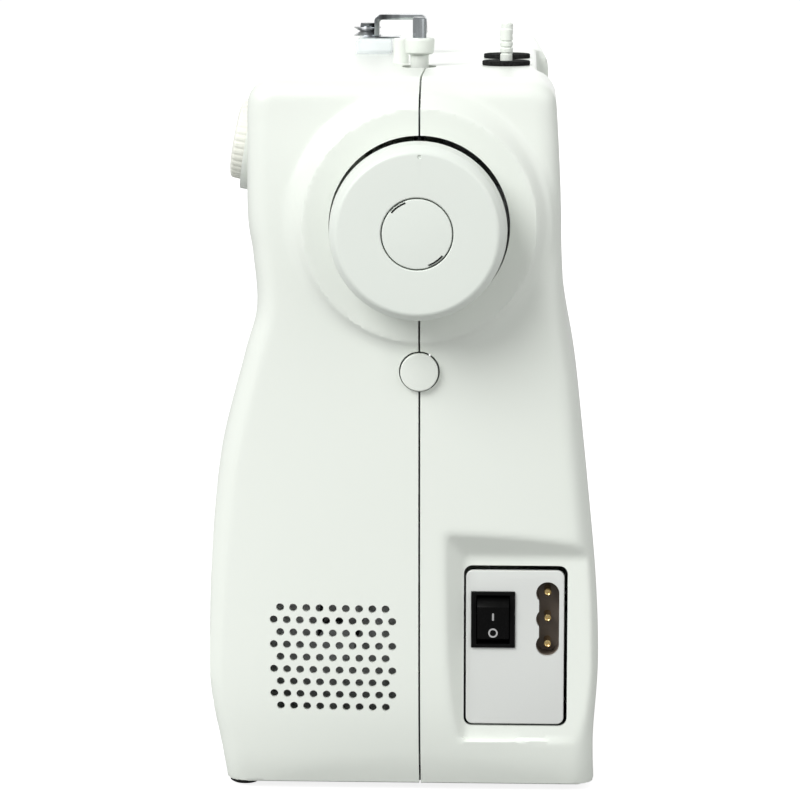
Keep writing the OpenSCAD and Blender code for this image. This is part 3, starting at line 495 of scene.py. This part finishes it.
# ---------------------------------------------------------------- materials
class Shader:
    """A Principled material with helpers for its procedural inputs."""

    def __init__(self, name, color, rough, metallic=0.0, **constants):
        self.material = bpy.data.materials.new(name)
        self.material.use_nodes = True
        self.tree = self.material.node_tree
        self.surface = self.tree.nodes["Principled BSDF"]
        self.surface.inputs["Metallic"].default_value = metallic
        self.surface.inputs["Base Color"].default_value = (*color, 1)
        self.surface.inputs["Roughness"].default_value = rough
        for key, value in constants.items():
            self.surface.inputs[key.replace("_", " ")].default_value = value
        self.place = self.add("ShaderNodeTexCoord").outputs["Object"]
        self.height = None

    def add(self, kind, **inputs):
        """New node, its inputs named with underscores for spaces."""
        node = self.tree.nodes.new(kind)
        for key, value in inputs.items():
            node.inputs[key.replace("_", " ")].default_value = value
        return node

    def link(self, out, socket):
        self.tree.links.new(out, socket)

    def noise(self, scale, detail=3.0, stretch=None):
        """Noise in the piece's own space, stretched where a brush went along it."""
        node = self.add("ShaderNodeTexNoise", Scale=scale, Detail=detail)
        source = self.place
        if stretch:
            mapping = self.add("ShaderNodeMapping", Scale=stretch)
            self.link(source, mapping.inputs["Vector"])
            source = mapping.outputs["Vector"]
        self.link(source, node.inputs["Vector"])
        return node.outputs["Fac"]

    def vary_color(self, source, dark, light):
        """Base colour between two shades."""
        ramp = self.add("ShaderNodeValToRGB")
        ramp.color_ramp.elements[0].position = 0.3
        ramp.color_ramp.elements[1].position = 0.7
        ramp.color_ramp.elements[0].color = (*dark, 1)
        ramp.color_ramp.elements[1].color = (*light, 1)
        self.link(source, ramp.inputs["Fac"])
        self.link(ramp.outputs["Color"], self.surface.inputs["Base Color"])
        return ramp

    def vary_rough(self, source, low, high):
        """Roughness between two values."""
        node = self.add("ShaderNodeMapRange", To_Min=low, To_Max=high)
        self.link(source, node.inputs["Value"])
        self.link(node.outputs["Result"], self.surface.inputs["Roughness"])

    def bump(self, source, distance):
        """Relief of a height in millimetres, on top of any earlier one."""
        node = self.add("ShaderNodeBump", Distance=distance * MM, Strength=1.0)
        self.link(source, node.inputs["Height"])
        if self.height:
            self.link(self.height, node.inputs["Normal"])
        self.height = node.outputs["Normal"]
        self.link(self.height, self.surface.inputs["Normal"])

    def edge_wear_and_highlight(self, ramp, color, threshold=0.56):
        """Mixes in a colour where the surface turns sharply outward: worn bare metal on the casting, a painted
        highlight on the white shell.
        """
        geometry = self.add("ShaderNodeNewGeometry")
        edge = self.add("ShaderNodeMapRange", From_Min=threshold, From_Max=threshold + 0.08)
        mix = self.add("ShaderNodeMix")
        mix.data_type = "RGBA"
        mix.inputs["B"].default_value = (*color, 1)
        self.link(geometry.outputs["Pointiness"], edge.inputs["Value"])
        self.link(edge.outputs["Result"], mix.inputs["Factor"])
        self.link(ramp.outputs["Color"], mix.inputs["A"])
        self.link(mix.outputs["Result"], self.surface.inputs["Base Color"])


def tint(color, factor):
    """Colour made darker or lighter, each channel at most 1."""
    return tuple(min(1, c * factor) for c in color)


def moulded(name, color, rough, grain=0.012, grain_scale=900, spread=0.985, edge=None, **constants):
    """Moulded plastic: fine grain, slow shade variation, uneven gloss, and a painted highlight on sharp edges
    where an edge colour is given.
    """
    s = Shader(name, color, rough, **constants)
    ramp = s.vary_color(s.noise(6, 2), tint(color, spread), color)
    s.vary_rough(s.noise(35, 4), rough - 0.05, rough + 0.06)
    s.bump(s.noise(grain_scale, 2), grain)
    if edge:
        s.edge_wear_and_highlight(ramp, edge)
    return s.material


def metal(name, color, rough, brush=None, grain=0.006, edge=None, dark=0.9, smudge_and_reflection_scale=60):
    """Metal: brushed or polished, with smudges; a low dark value paints dark reflection streaks into its colour
    instead.
    """
    s = Shader(name, color, rough, metallic=1.0)
    paints_reflections = dark < 0.5
    # with a low dark value, noise stretched along the brush paints dark reflection streaks into the base
    # colour; otherwise it gives faint smudges
    ramp = s.vary_color(s.noise(smudge_and_reflection_scale, 3, brush if paints_reflections else None), tint(color, dark), color)
    s.vary_rough(s.noise(120, 4, brush), rough * 0.7, rough * 1.35)
    s.bump(s.noise(700, 3, brush), grain)
    if edge:
        s.edge_wear_and_highlight(ramp, edge)
    return s.material


def make_materials():
    """Materials by name; each slot of the record has its own name here."""
    white = (0.81, 0.85, 0.79)
    m = {
        # the white shell's lighter edge colour is a painted highlight along its sharp outward edges
        "shell": moulded("white_shell", white, 0.34, edge=(0.86, 0.89, 0.85),
                         Coat_Weight=0.12, Coat_Roughness=0.25),
        "wheel": moulded("white_wheel", (0.76, 0.805, 0.75), 0.36, grain=0.02, grain_scale=600),
        "ivory": moulded("ivory_plastic", (0.86, 0.87, 0.79), 0.32),
        "black_plastic": moulded("black_plastic", (0.0025, 0.0025, 0.0025), 0.42, grain=0.02, spread=0.7,
                                 Specular_IOR_Level=0.1),
        "grey_plastic": moulded("grey_plastic", (0.42, 0.43, 0.44), 0.5, grain=0.03, grain_scale=500),
        "rubber": moulded("black_rubber", (0.016, 0.016, 0.016), 0.75, grain=0.04, grain_scale=400,
                          spread=0.6),
        "panel": moulded("silver_paint", (0.67, 0.69, 0.665), 0.42, grain=0.01, grain_scale=1500),
        "socket": moulded("brown_insulator", (0.20, 0.165, 0.135), 0.45, grain=0.02),
        "mark": moulded("grey_mark", (0.42, 0.42, 0.42), 0.5),
        "casting": metal("cast_aluminium", (0.62, 0.63, 0.64), 0.5, grain=0.05, edge=(0.8, 0.8, 0.8)),
        "steel": metal("ground_steel", (0.56, 0.57, 0.58), 0.3, brush=(1, 12, 1)),
        "chrome": metal("chrome_plate", (0.80, 0.81, 0.82), 0.10, grain=0.002),
        # painted reflection: dark streaks in this chrome's colour stand in for the surroundings it reflects
        "mirror": metal("chrome_painted_reflections", (0.62, 0.66, 0.68), 0.14, brush=(1, 1, 0.12), grain=0.001,
                        dark=0.06, smudge_and_reflection_scale=110),
        "bronze": metal("sintered_bronze", (0.55, 0.36, 0.18), 0.45, grain=0.03),
        "brass": metal("brass_pin", (0.78, 0.58, 0.26), 0.22),
    }
    felt = Shader("black_felt", (0.01, 0.01, 0.01), 0.95, Specular_IOR_Level=0.1)
    felt.vary_color(felt.noise(900, 5), (0.004, 0.004, 0.004), (0.022, 0.022, 0.022))
    felt.bump(felt.noise(1400, 6), 0.25)
    m["felt"] = felt.material
    clear = Shader("clear_plastic", (0.86, 0.93, 0.96), 0.08, IOR=1.49, Alpha=0.35)
    clear.vary_rough(clear.noise(80, 3), 0.05, 0.14)
    clear.bump(clear.noise(300, 2), 0.004)
    m["clear"] = clear.material
    return m


MAT = make_materials()


def dress_cad_nodes():
    """Every CAD node that stays gets the procedural material of its slot."""
    for node, obj in frame["nodes"].items():
        material = MAT[SLOT_OF[node]]
        for holder in obj.material_slots:
            holder.material = material


# ---------------------------------------------------------------- covers
BODY_GRID = (np.concatenate([np.arange(-204, 132, 3.2), np.arange(132, 177, 1.35)]),
             np.arange(-88, 88, 1.7), np.arange(1, 310, 1.7))
INNER_GRID = (np.arange(-204, 177, 4), np.arange(-88, 88, 3.4), np.arange(1, 310, 3.4))


def shell_object(name, outer, outer_grid, inner, inner_grid):
    """Closed hollow shell between two fields, each meshed on its own grid."""
    points, faces = surface_net(outer, *outer_grid)
    inner_points, inner_faces = surface_net(inner, *inner_grid)
    return make_object(name, np.concatenate([points, inner_points]),
                       np.concatenate([faces, inner_faces[:, ::-1] + len(points)]))


def rounded_prism(low, high, radius, start, end, name="tool"):
    """Bar along X whose [y, z] section is a rounded rectangle."""
    outline = (arc((high[0] - radius, high[1] - radius), radius, 0, 90, 8)
               + arc((low[0] + radius, high[1] - radius), radius, 90, 180, 8)
               + arc((low[0] + radius, low[1] + radius), radius, 180, 270, 8)
               + arc((high[0] - radius, low[1] + radius), radius, 270, 360, 8))
    return prism(outline, start, end, "x", name)


def vent_tools():
    """Drills for the vents of the end face; every other row has one hole more."""
    rows, fewest, pitch_y, pitch_z = 9, 9, 5.6, 5.4
    middle_y, top_z, radius = -28, 82.8, 1.7
    tools = []
    for row in range(rows):
        count = fewest + row % 2
        for i in range(count):
            centre = (middle_y + (i - (count - 1) / 2) * pitch_y, top_z - row * pitch_z)
            tools.append(rod("x", 150, 180, centre, radius, 20))
    return joined(tools, "vents")


def dial_place():
    """Frame of the pattern dial: local Z points out of the tilted front face."""
    return facing((0, -math.cos(DIAL_TILT), math.sin(DIAL_TILT)), DIAL_CENTRE)


def common_cuts(blank):
    """Openings that both halves of the cover share."""
    slot_r, slot_travel = 7.4, 7
    winder_slot = (arc(WINDER, slot_r, 90, 270)
                   + arc((WINDER[0] + slot_travel, WINDER[1]), slot_r, -90, 90))
    past_column = COLUMN_X + 9
    cut(blank,
        rod("x", 130, 190, (SEAM_Y, SHAFT_Z), RECESS_R, 160),
        rod("x", 150, 190, (SEAM_Y, CAP_Z), CAP_R + 0.6, 64),
        # base pan, free arm, frame of the bed, needle bar
        block((COLUMN_X + 5, -68, 0), (148, 76, 12)),
        block((COLUMN_X - 2, -31, 37), (past_column, 47, 99)),
        block((COLUMN_X - 2, -28, 0), (past_column, 44, 20)),
        block((NEEDLE_X - 17, -14, HEAD_Z - 8), (NEEDLE_X + 17, 55, HEAD_Z + 12)),
        prism(winder_slot, TOP_Z - 9, TOP_Z + 9))


def cut_front(front):
    """Seat, dials, slots, vents and lamp opening of the front half."""
    place = dial_place()
    cut(front, lathe("seat", [(0, -3), (19.6, -3), (21, -1), (21, 3.2), (0, 3.2)], place, 96),
        operation="UNION")
    cut(front,
        # well of the pattern dial and the hole of its shaft
        lathe("tool", [(0, 0), (18.3, 0), (18.3, 30), (0, 30)], place, 96),
        lathe("tool", [(0, -12), (4.3, -12), (4.3, 3), (0, 3)], place, 48),
        vent_tools(),
        # length dial, then the shafts of both smaller dials
        rod("y", -80, -62.4, (LENGTH_DIAL_Z, LENGTH_DIAL_X), LENGTH_DIAL_R + 0.5, 72),
        rod("y", -80, -40, (LENGTH_DIAL_Z, LENGTH_DIAL_X), 3.8, 32),
        rod("y", -80, -40, (TENSION_DIAL_Z, NEEDLE_X), 4.2, 32),
        # take-up slot, thread slot, reverse lever, lamp
        block((-119, -80, 232), (-109, -40, 298)),
        block((-137, -80, 150), (-132.5, -40, 292)),
        block((76, -90, 133), (114, -60, 160)),
        block((NEEDLE_X + 24, -12, HEAD_Z - 5), (NEEDLE_X + 40, 6, HEAD_Z + 5)))


def cut_rear(rear):
    """Inlet panel, presser lever, spool pins and handle pivots of the rear half."""
    cut(rear,
        rounded_prism((27.3, 30.7), (71.2, 100.6), 3.6, PANEL_X - 4, PANEL_X + 4),
        block((NEEDLE_X + 5, 50, 192), (NEEDLE_X + 17, 80, 244)),
        *[rod("z", 250, 320, (x, PIN_Y), 2.8, 32) for x in PIN_SPOTS],
        *[rod("x", x - 4, x + 4, (HANDLE_Y, HANDLE_Z), 2.6, 32) for x in HANDLE_X])


def build_covers():
    """Front half, rear half and face cover, parted from one shell."""
    blank = shell_object("cover_blank", body_outer, BODY_GRID, body_inner, INNER_GRID)
    common_cuts(blank)
    half = SEAM_GAP / 2
    far_x, far_y, far_z = 300, 200, 400
    face = copy_of(blank, "face_cover_skin")
    cut(face, block((-far_x, -far_y, 0), (FACE_X - 0.4, far_y, far_z)), operation="INTERSECT")
    front = copy_of(blank, "front_cover_skin")
    cut(front, block((FACE_X, -far_y, 0), (far_x, SEAM_Y - half, far_z)), operation="INTERSECT")
    rear = blank
    rear.name = "rear_cover_skin"
    cut(rear, block((FACE_X, SEAM_Y + half, 0), (far_x, far_y, far_z)), operation="INTERSECT")
    cut_front(front)
    cut_rear(rear)
    for obj, node in ((front, "front_cover"), (rear, "rear_cover"), (face, "face_cover")):
        shade(obj, 32)
        put(obj, node, MAT["shell"])


def build_seam_tongue():
    """Lip of the rear cover that closes the seam along the arm's flat top."""
    half = SEAM_GAP / 2 - 0.02
    lip = block((FACE_X + 0.5, SEAM_Y - half, TOP_Z - 6), (WINDER[0] - 10, SEAM_Y + half, TOP_Z - 0.12),
                "seam_tongue")
    extra(lip, "rear_cover", MAT["shell"])


# ---------------------------------------------------------------- hand wheel and caps
def build_wheel():
    """Hand wheel with its index dimple, and its hub cap with two curved slots."""
    bore, hub, back, web, edge = 5.05, 9, 152, 184, WHEEL_X
    centre = (0, SEAM_Y, SHAFT_Z)
    place = facing((1, 0, 0), centre)
    profile = rounded([
        (bore, back), (hub, back), (hub, web), (WHEEL_R - 4, web), (WHEEL_R - 4, 171), (WHEEL_R - 1.6, 170),
        (WHEEL_R, 185), (WHEEL_R - 0.7, edge - 3.6), (WHEEL_R - 3.4, edge), (15.2, edge), (14.8, edge - 0.4),
        (14.8, edge - 5), (bore, edge - 5)],
        {4: 1, 5: 1, 6: 12, 7: 2, 8: 2.4})
    wheel = lathe("handwheel_skin", profile, place, 160, angle=40)
    dot = facing((1, 0, 0), (edge - 0.25, SEAM_Y + 1, SHAFT_Z + WHEEL_R - 5.2))
    cut(wheel, lathe("tool", [(0, -0.3), (0.7, -0.3), (1.2, 1), (0, 1)], dot, 24))
    shade(wheel)
    put(wheel, "handwheel", MAT["wheel"])
    cap_r = 14.25
    cap = lathe("handwheel_cap_skin",
                rounded([(0, edge - 5), (cap_r, edge - 5), (cap_r, edge - 0.1), (0, edge - 0.1)], {2: 0.5}),
                place, 120, angle=40)
    slots = []
    for angle in (125, 305):
        turn = Matrix.Rotation(math.radians(angle), 4, "X")
        tool = prism(arc((0, 0), 13.1, -15, 15, 8) + arc((0, 0), 16, 15, -15, 8), edge - 3, edge + 1, "x")
        tool.data.transform(Matrix.Translation(Vector(centre) * MM) @ turn)
        slots.append(tool)
    cut(cap, *slots)
    shade(cap)
    put(cap, "handwheel_cap", MAT["wheel"])


def build_screw_cap():
    """Round cap on the seam below the wheel, slightly crowned."""
    cover = lathe("screw_cap_skin",
                  rounded([(0, 168.8), (CAP_R, 168.8), (CAP_R, 171.5), (0, 171.7)], {2: 0.6}),
                  facing((1, 0, 0), (0, SEAM_Y, CAP_Z)), 72)
    put(cover, "screw_cap", MAT["shell"])


# ---------------------------------------------------------------- top fittings
def build_spool_pins():
    """Two ribbed pins and their felts."""
    pin_r, neck_r = 2.65, 2.2
    for node, x in (("spool_pin_right", PIN_SPOTS[0]), ("spool_pin_left", PIN_SPOTS[1])):
        low, high = box_mm(node)
        top = high.z
        profile = [(0, low.z), (pin_r, low.z), (pin_r, TOP_Z + 4.6)]
        for k in range(3):
            z = TOP_Z + 5 + k * 2.6
            profile += [(neck_r, z), (neck_r, z + 0.4), (pin_r, z + 0.7), (pin_r, z + 2.1)]
        profile += [(pin_r, top - 0.7), (2.0, top), (0, top)]
        pin = lathe(node + "_skin", profile, Matrix.Translation((x, PIN_Y, 0)), 48)
        put(pin, node, MAT["shell"])
    felts = []
    hole_r, felt_r, low, high = 2.85, 10.5, TOP_Z + 0.05, TOP_Z + 2
    profile = rounded([(hole_r, low), (felt_r, low), (felt_r, high), (hole_r, high), (hole_r, low)],
                      {1: 0.4, 2: 0.5})[:-1]
    for x in PIN_SPOTS:
        felts.append(lathe("felt", profile, Matrix.Translation((x, PIN_Y, 0)), 72))
    put(joined(felts, "spool_felts_skin"), "spool_felts", MAT["felt"])


def build_winder():
    """Bobbin winder: white flange, chrome spindle with its catch, and the stopper beside it."""
    place = Matrix.Translation((*WINDER, 0))
    rim = TOP_Z + 12.2
    bore, neck, spindle_r = 2.65, 2.6, 3
    flange = lathe("winder_flange_skin", rounded([
        (bore, 294), (3.9, 294), (4, rim - 7.4), (6.2, rim - 6.6), (6.6, rim - 0.8), (6.2, rim), (bore, rim)],
        {2: 0.5, 3: 1.0, 4: 0.4}), place, 72)
    put(flange, "winder_flange", MAT["shell"])
    spindle = lathe("winder_spindle_skin", [
        (0, 266), (12.6, 266), (13, 266.4), (13, 270.6), (12.6, 271), (neck, 271), (neck, rim),
        (spindle_r, rim), (spindle_r, rim + 8.4), (2.5, rim + 9), (0, rim + 9)], place, 64)
    cut(spindle, block((WINDER[0] - 0.5, WINDER[1] - 4, rim + 0.5),
                       (WINDER[0] + 5, WINDER[1] - 1.6, rim + 2.2)))
    shade(spindle)
    put(spindle, "winder_spindle", MAT["mirror"])
    stopper = lathe("winder_stopper_skin", rounded([
        (0, TOP_Z), (3.4, TOP_Z), (3.4, TOP_Z + 11), (0, TOP_Z + 11)], {2: 0.8}),
        Matrix.Translation((*STOPPER, 0)), 48)
    put(stopper, "winder_stopper", MAT["shell"])


def build_thread_guide():
    """Bobbin thread guide: clear base, chrome plate and arch, two discs under a slotted screw."""
    peak = box_mm("thread_guide")[1].z
    deck = TOP_Z + 7
    base = block((-34, -27, TOP_Z - 0.5), (-6, -10, deck), "guide_base")
    bevel(base, 1.6, 4)
    extra(base, "thread_guide", MAT["clear"])
    mid, thick = -18, 2.4
    outline = (arc((-15.2, peak - 3.4), 3.4, 180, 90, 8) + arc((2.6, peak - 3.2), 3.2, 90, 0, 8)
               + pts((5.8, peak - 9), (5.8 - thick, peak - 9))
               + arc((2.2, peak - thick - 1.2), 1.2, 0, 90, 6)
               + arc((-14.6, peak - thick - 1.8), 1.8, 90, 180, 6)
               + pts((-16.4, TOP_Z + 6.9), (-18.6, TOP_Z + 6.9)))
    arch = prism(outline[::-1], mid - 6, mid + 6, "x", "thread_guide_arch")
    bevel(arch, 0.3, 2, 40)
    put(arch, "thread_guide", MAT["mirror"])
    z = TOP_Z + 7.8
    plate = block((-25, -24, deck), (-11, -6.6, z), "thread_guide_plate")
    bevel(plate, 0.3, 2)
    extra(plate, "thread_guide", MAT["mirror"])
    place = Matrix.Translation((-20, -22, 0))
    discs = lathe("thread_guide_discs", [
        (0, z), (6.2, z + 0.1), (6.4, z + 0.5), (4.6, z + 1.6), (3.4, z + 2.2), (4.8, z + 2.8), (6.4, z + 3.9),
        (6.2, z + 4.2), (3.2, z + 3.8), (0, z + 3.8)], place, 64)
    extra(discs, "thread_guide", MAT["steel"])
    screw = lathe("thread_guide_screw", [
        (0, z + 3), (3.3, z + 3.9), (3.5, z + 4.4), (3.2, z + 6), (0, z + 6.2)], place, 48)
    cut(screw, block((-20.4, -30, z + 5.3), (-19.6, -10, z + 9)))
    shade(screw)
    extra(screw, "thread_guide", MAT["mirror"])


# ---------------------------------------------------------------- dials
def grip(count, depth, first, last):
    """Wobble for lathe: ribs cut into the rings between two of a profile's points."""
    def scale(angle, k):
        if not first <= k <= last:
            return 1
        return 1 - depth * (0.5 + 0.5 * math.cos(count * angle)) ** 3
    return scale


def build_pattern_dial():
    """Ribbed dial, sunk into the upper right of the front."""
    profile = rounded([(0, -22), (4, -22), (4, 0.4), (17.4, 0.4), (17.0, 8), (13.5, 8.8), (0, 8.8)],
                      {4: 1.5, 5: 2})
    dial = lathe("pattern_dial_skin", profile, dial_place(), 288, grip(36, 0.018, 3, 8))
    put(dial, "pattern_dial", MAT["ivory"])


def build_small_dial(node, x, z, face, back, radius):
    """Ribbed knob on the front, between two Y planes, with a mark at the top of its face."""
    inner_y = box_mm(node)[1].y
    shape = rounded([(0, -inner_y), (3.5, -inner_y), (3.5, -back), (radius, -back), (radius - 0.4, -face),
                     (0, -face)], {4: 0.8})
    knob = lathe(node + "_skin", shape, facing((0, -1, 0), (x, 0, z)), 192, grip(24, 0.02, 3, len(shape)))
    cut(knob, block((x - 0.6, face - 1, z + radius - 6), (x + 0.6, face + 0.5, z + radius - 1.5)))
    shade(knob)
    put(knob, node, MAT["wheel"])


# ---------------------------------------------------------------- inlet
def build_inlet():
    """Silver panel, brown insulator with a three-lobed cavity, and three brass pins."""
    low, high = box_mm("inlet_panel")
    panel = rounded_prism((low.y, low.z), (high.y, high.z), 3, low.x, high.x, "inlet_panel_skin")
    bevel(panel, 0.5, 3, 50)
    lobe = 4.9
    top, bottom = INLET_Z + PIN_PITCH, INLET_Z - PIN_PITCH
    cavity = (arc((INLET_Y, top), lobe, 0, 222, 20) + arc((INLET_Y, INLET_Z), lobe, 138, 222, 12)
              + arc((INLET_Y, bottom), lobe, 138, 360, 20))
    socket_hole = prism(cavity, low.x - 9, high.x + 5, "x", "socket_hole")
    panel_hole = copy_of(socket_hole, "panel_hole")
    a, b = box_mm("switch_body")
    gap = 0.15
    cut(panel, panel_hole, block((PANEL_X - 4, a.y - gap, a.z - gap), (PANEL_X + 4, b.y + gap, b.z + gap)))
    shade(panel)
    put(panel, "inlet_panel", MAT["panel"])
    a, b = box_mm("inlet_socket")
    socket = block(a, (PANEL_X - 1.9, b.y, b.z), "inlet_socket_skin")
    cut(socket, socket_hole)
    shade(socket)
    put(socket, "inlet_socket", MAT["socket"])
    for k in (-1, 0, 1):
        pin = lathe(f"inlet_pin_{k + 1}", [
            (0, PANEL_X - 16), (1.5, PANEL_X - 16), (1.5, PANEL_X - 2.2), (1.1, PANEL_X - 1.8),
            (0.7, PANEL_X - 2), (0.6, PANEL_X - 3), (0, PANEL_X - 3)],
            facing((1, 0, 0), (0, INLET_Y, INLET_Z + k * PIN_PITCH)), 32)
        extra(pin, "inlet_socket", MAT["brass"])


def ring_object(name, centre, outer_r, inner_r, back, front, steps=32):
    """Flat ring facing X, between two X planes."""
    outer, inner = circle(centre, outer_r, steps), circle(centre, inner_r, steps)
    points = [(x, *p) for x in (front, back) for ring in (outer, inner) for p in ring]
    n = steps
    faces = []
    for i in range(n):
        j = (i + 1) % n
        faces += [(i, j, n + j, n + i), (2 * n + i, 3 * n + i, 3 * n + j, 2 * n + j),
                  (i, 2 * n + i, 2 * n + j, j), (n + i, n + j, 3 * n + j, 3 * n + i)]
    return make_object(name, points, faces)


def build_switch():
    """Rocker switch with a ring on its lower half and a bar on its upper half."""
    put(refined("switch_body", 0.8, 3), "switch_body", MAT["black_plastic"])
    put(refined("switch_rocker", 0.5), "switch_rocker", MAT["black_plastic"])
    pivot_x = PANEL_X - 4
    face_x = pivot_x + 6.02
    off_mark = ring_object("switch_off_mark", (39.7, SWITCH_Z - 5.6), 2.0, 1.35, face_x - 0.3, face_x)
    extra(off_mark, "switch_rocker", MAT["mark"])
    on_mark = block((5.72, 39.3, 1.6), (6.03, 40.1, 5), "switch_on_mark")
    turn = Matrix.Translation((pivot_x * MM, 0, SWITCH_Z * MM)) @ Matrix.Rotation(math.radians(16), 4, "Y")
    on_mark.data.transform(turn)
    extra(on_mark, "switch_rocker", MAT["mark"])


# ---------------------------------------------------------------- bed, table, handle, feet
def build_bed():
    """Cover of the free arm, open towards the column and over the needle plate."""
    outline = pts((24.6, -34), (24.6, 50)) + arc((-165, 28), 22, 90, 180) + arc((-165, -12), 22, 180, 270)
    outer = rounded_block(outline, 34, BED_TOP, 3)

    def inner(x, y, z):
        return np.maximum(outer(x, y, z) + WALL, x - 21.5)

    grid = np.arange(-190, 28, 1.9), np.arange(-37, 54, 1.9), np.arange(31, 106, 1.5)
    arm = shell_object("bed_cover_skin", outer, grid, inner, grid)
    cut(arm, block((-182, -30.6, 94), (-112, 46.4, 110)), block((10, -30, 38), (40, 46, 98)), solver="EXACT")
    shade(arm, 32)
    put(arm, "bed_cover", MAT["shell"])


def build_table():
    """Extension table that wraps the free arm: a hollow shell with the arm's channel cut out."""
    plan = pts((24.2, -83.5), (24.2, 80)) + arc((-174, 58), 22, 90, 180) + arc((-166, -53.5), 30, 180, 270)
    outer = rounded_block(plan, BASE_Z, BED_TOP, 3.5)
    near, far = BED_CHANNEL_Y

    def inner(x, y, z):
        return np.maximum(outer(x, y, z) + WALL, -slab(y, near - WALL, far + WALL))

    grid = np.arange(-200, 28, 2.1), np.arange(-87, 84, 2.1), np.arange(0.5, 105, 1.9)
    table = shell_object("extension_table_skin", outer, grid, inner, grid)
    channel = prism(pts((-187.8, near), (60, near), (60, far), (-187.8, far)), -1, 200)
    cut(table, channel, block((-168, -90, 14), (10, -75, 88)))
    shade(table, 32)
    put(table, "extension_table", MAT["shell"])


def build_accessory_lid():
    """Lid at the front of the table, with a thumb notch."""
    lid = block((-167.5, -83.3, 14.6), (9.5, -81, 87.5), "accessory_lid_skin")
    bevel(lid, 0.8, 3)
    cut(lid, rod("y", -90, -82.4, (84, -79), 9, 48))
    shade(lid)
    put(lid, "accessory_lid", MAT["shell"])


def build_handle():
    """Carrying handle, folded into its pocket."""
    put(refined("carrying_handle", 2.2, 4), "carrying_handle", MAT["shell"])


def build_feet():
    """Five rubber feet, which share one node."""
    feet = []
    for x, y in FEET_XY:
        feet.append(lathe("foot", rounded([(0, 0), (5.2, 0), (6.75, 0.9), (6.75, 3), (0, 3)], {1: 0.5, 2: 0.6}),
                          Matrix.Translation((x, y, 0)), 48))
    put(joined(feet, "feet_skin"), "feet", MAT["rubber"])


def build_refined():
    """Small CAD parts that only need their edges rounded, with each one's edge width."""
    widths = {"needle_plate": 0.3, "presser_foot": 0.5, "foot_holder": 0.6, "presser_lever": 1.2,
              "reverse_lever": 0.9, "take_up_lever": 0.5, "hook_cover": 0.5, "needle_clamp": 0.3,
              "lamp": 0.8, "tension_discs": 0.3, "winder_arm": 0.5}
    for node, width in widths.items():
        put(refined(node, width), node, MAT[SLOT_OF[node]])


# ---------------------------------------------------------------- stage, light and camera
def seen_and_cast(shader_tree, seen, cast):
    """Strength of a surface or sky: one value for the eye, another as a source of light."""
    strength = shader_tree.nodes.new("ShaderNodeMapRange")
    strength.inputs["To Min"].default_value = cast
    strength.inputs["To Max"].default_value = seen
    eye = shader_tree.nodes.new("ShaderNodeLightPath").outputs["Is Camera Ray"]
    shader_tree.links.new(eye, strength.inputs["Value"])
    return strength.outputs["Result"]


def floor_material(color):
    """White floor that looks bright and sends up no light of its own."""
    s = Shader("floor_white", color, 0.9, Emission_Color=(1, 1, 1, 1))
    s.vary_color(s.noise(3, 2), tint(color, 0.99), color)
    s.link(seen_and_cast(s.tree, 0.85, 0.0), s.surface.inputs["Emission Strength"])
    return s.material


def soft_sun(name, source, power, angle):
    """Distant studio light, its disc wide enough for soft shadows."""
    data = bpy.data.lights.new(name, "SUN")
    data.energy = power
    data.angle = math.radians(angle)
    lamp = bpy.data.objects.new(name, data)
    lamp.rotation_euler = Vector(source).to_track_quat("Z", "Y").to_euler()
    bpy.context.scene.collection.objects.link(lamp)


def build_world():
    """White backdrop for the eye, softer sky for the light on the object."""
    world = bpy.data.worlds.new("studio")
    world.use_nodes = True
    tree = world.node_tree
    background = tree.nodes["Background"]
    background.inputs["Color"].default_value = (1, 1, 1, 1)
    tree.links.new(seen_and_cast(tree, 1.05, 0.45), background.inputs["Strength"])
    bpy.context.scene.world = world


def build_stage():
    """Floor, sky and three suns, shown without a film-like curve."""
    bpy.context.scene.view_settings.view_transform = "Standard"
    bpy.ops.mesh.primitive_plane_add(size=12, location=(0, 0, 0))
    floor = bpy.context.object
    floor.name = "studio_floor"
    floor.data.materials.append(floor_material((0.35, 0.35, 0.35)))
    build_world()
    soft_sun("key", (0.56, -0.5, 0.6), 2.65, 35)
    soft_sun("fill", (0.4, 0.75, 0.35), 0.75, 60)
    soft_sun("behind", (-0.8, 0.1, 0.35), 0.7, 60)


def build_camera():
    """Long lens at the wheel end, slightly above and behind the seam; places in metres."""
    data = bpy.data.cameras.new("camera")
    data.sensor_width = 36
    data.lens = 145.8
    camera = bpy.data.objects.new("camera", data)
    place = Vector((1.5007, 0.0533, 0.3940))
    target = Vector((0.170, 0.0006, 0.1728))
    camera.location = place
    camera.rotation_euler = (target - place).to_track_quat("-Z", "Y").to_euler()
    bpy.context.scene.collection.objects.link(camera)
    bpy.context.scene.camera = camera


# ---------------------------------------------------------------- the whole scene
dress_cad_nodes()
build_covers()
build_wheel()
build_screw_cap()
build_spool_pins()
build_winder()
build_seam_tongue()
build_thread_guide()
build_pattern_dial()
build_small_dial("length_dial", LENGTH_DIAL_X, LENGTH_DIAL_Z, -66.6, -62.6, LENGTH_DIAL_R)
build_small_dial("tension_dial", NEEDLE_X, TENSION_DIAL_Z, -68, -60.3, TENSION_DIAL_R)
build_inlet()
build_switch()
build_bed()
build_table()
build_accessory_lid()
build_handle()
build_feet()
build_refined()
build_stage()
build_camera()
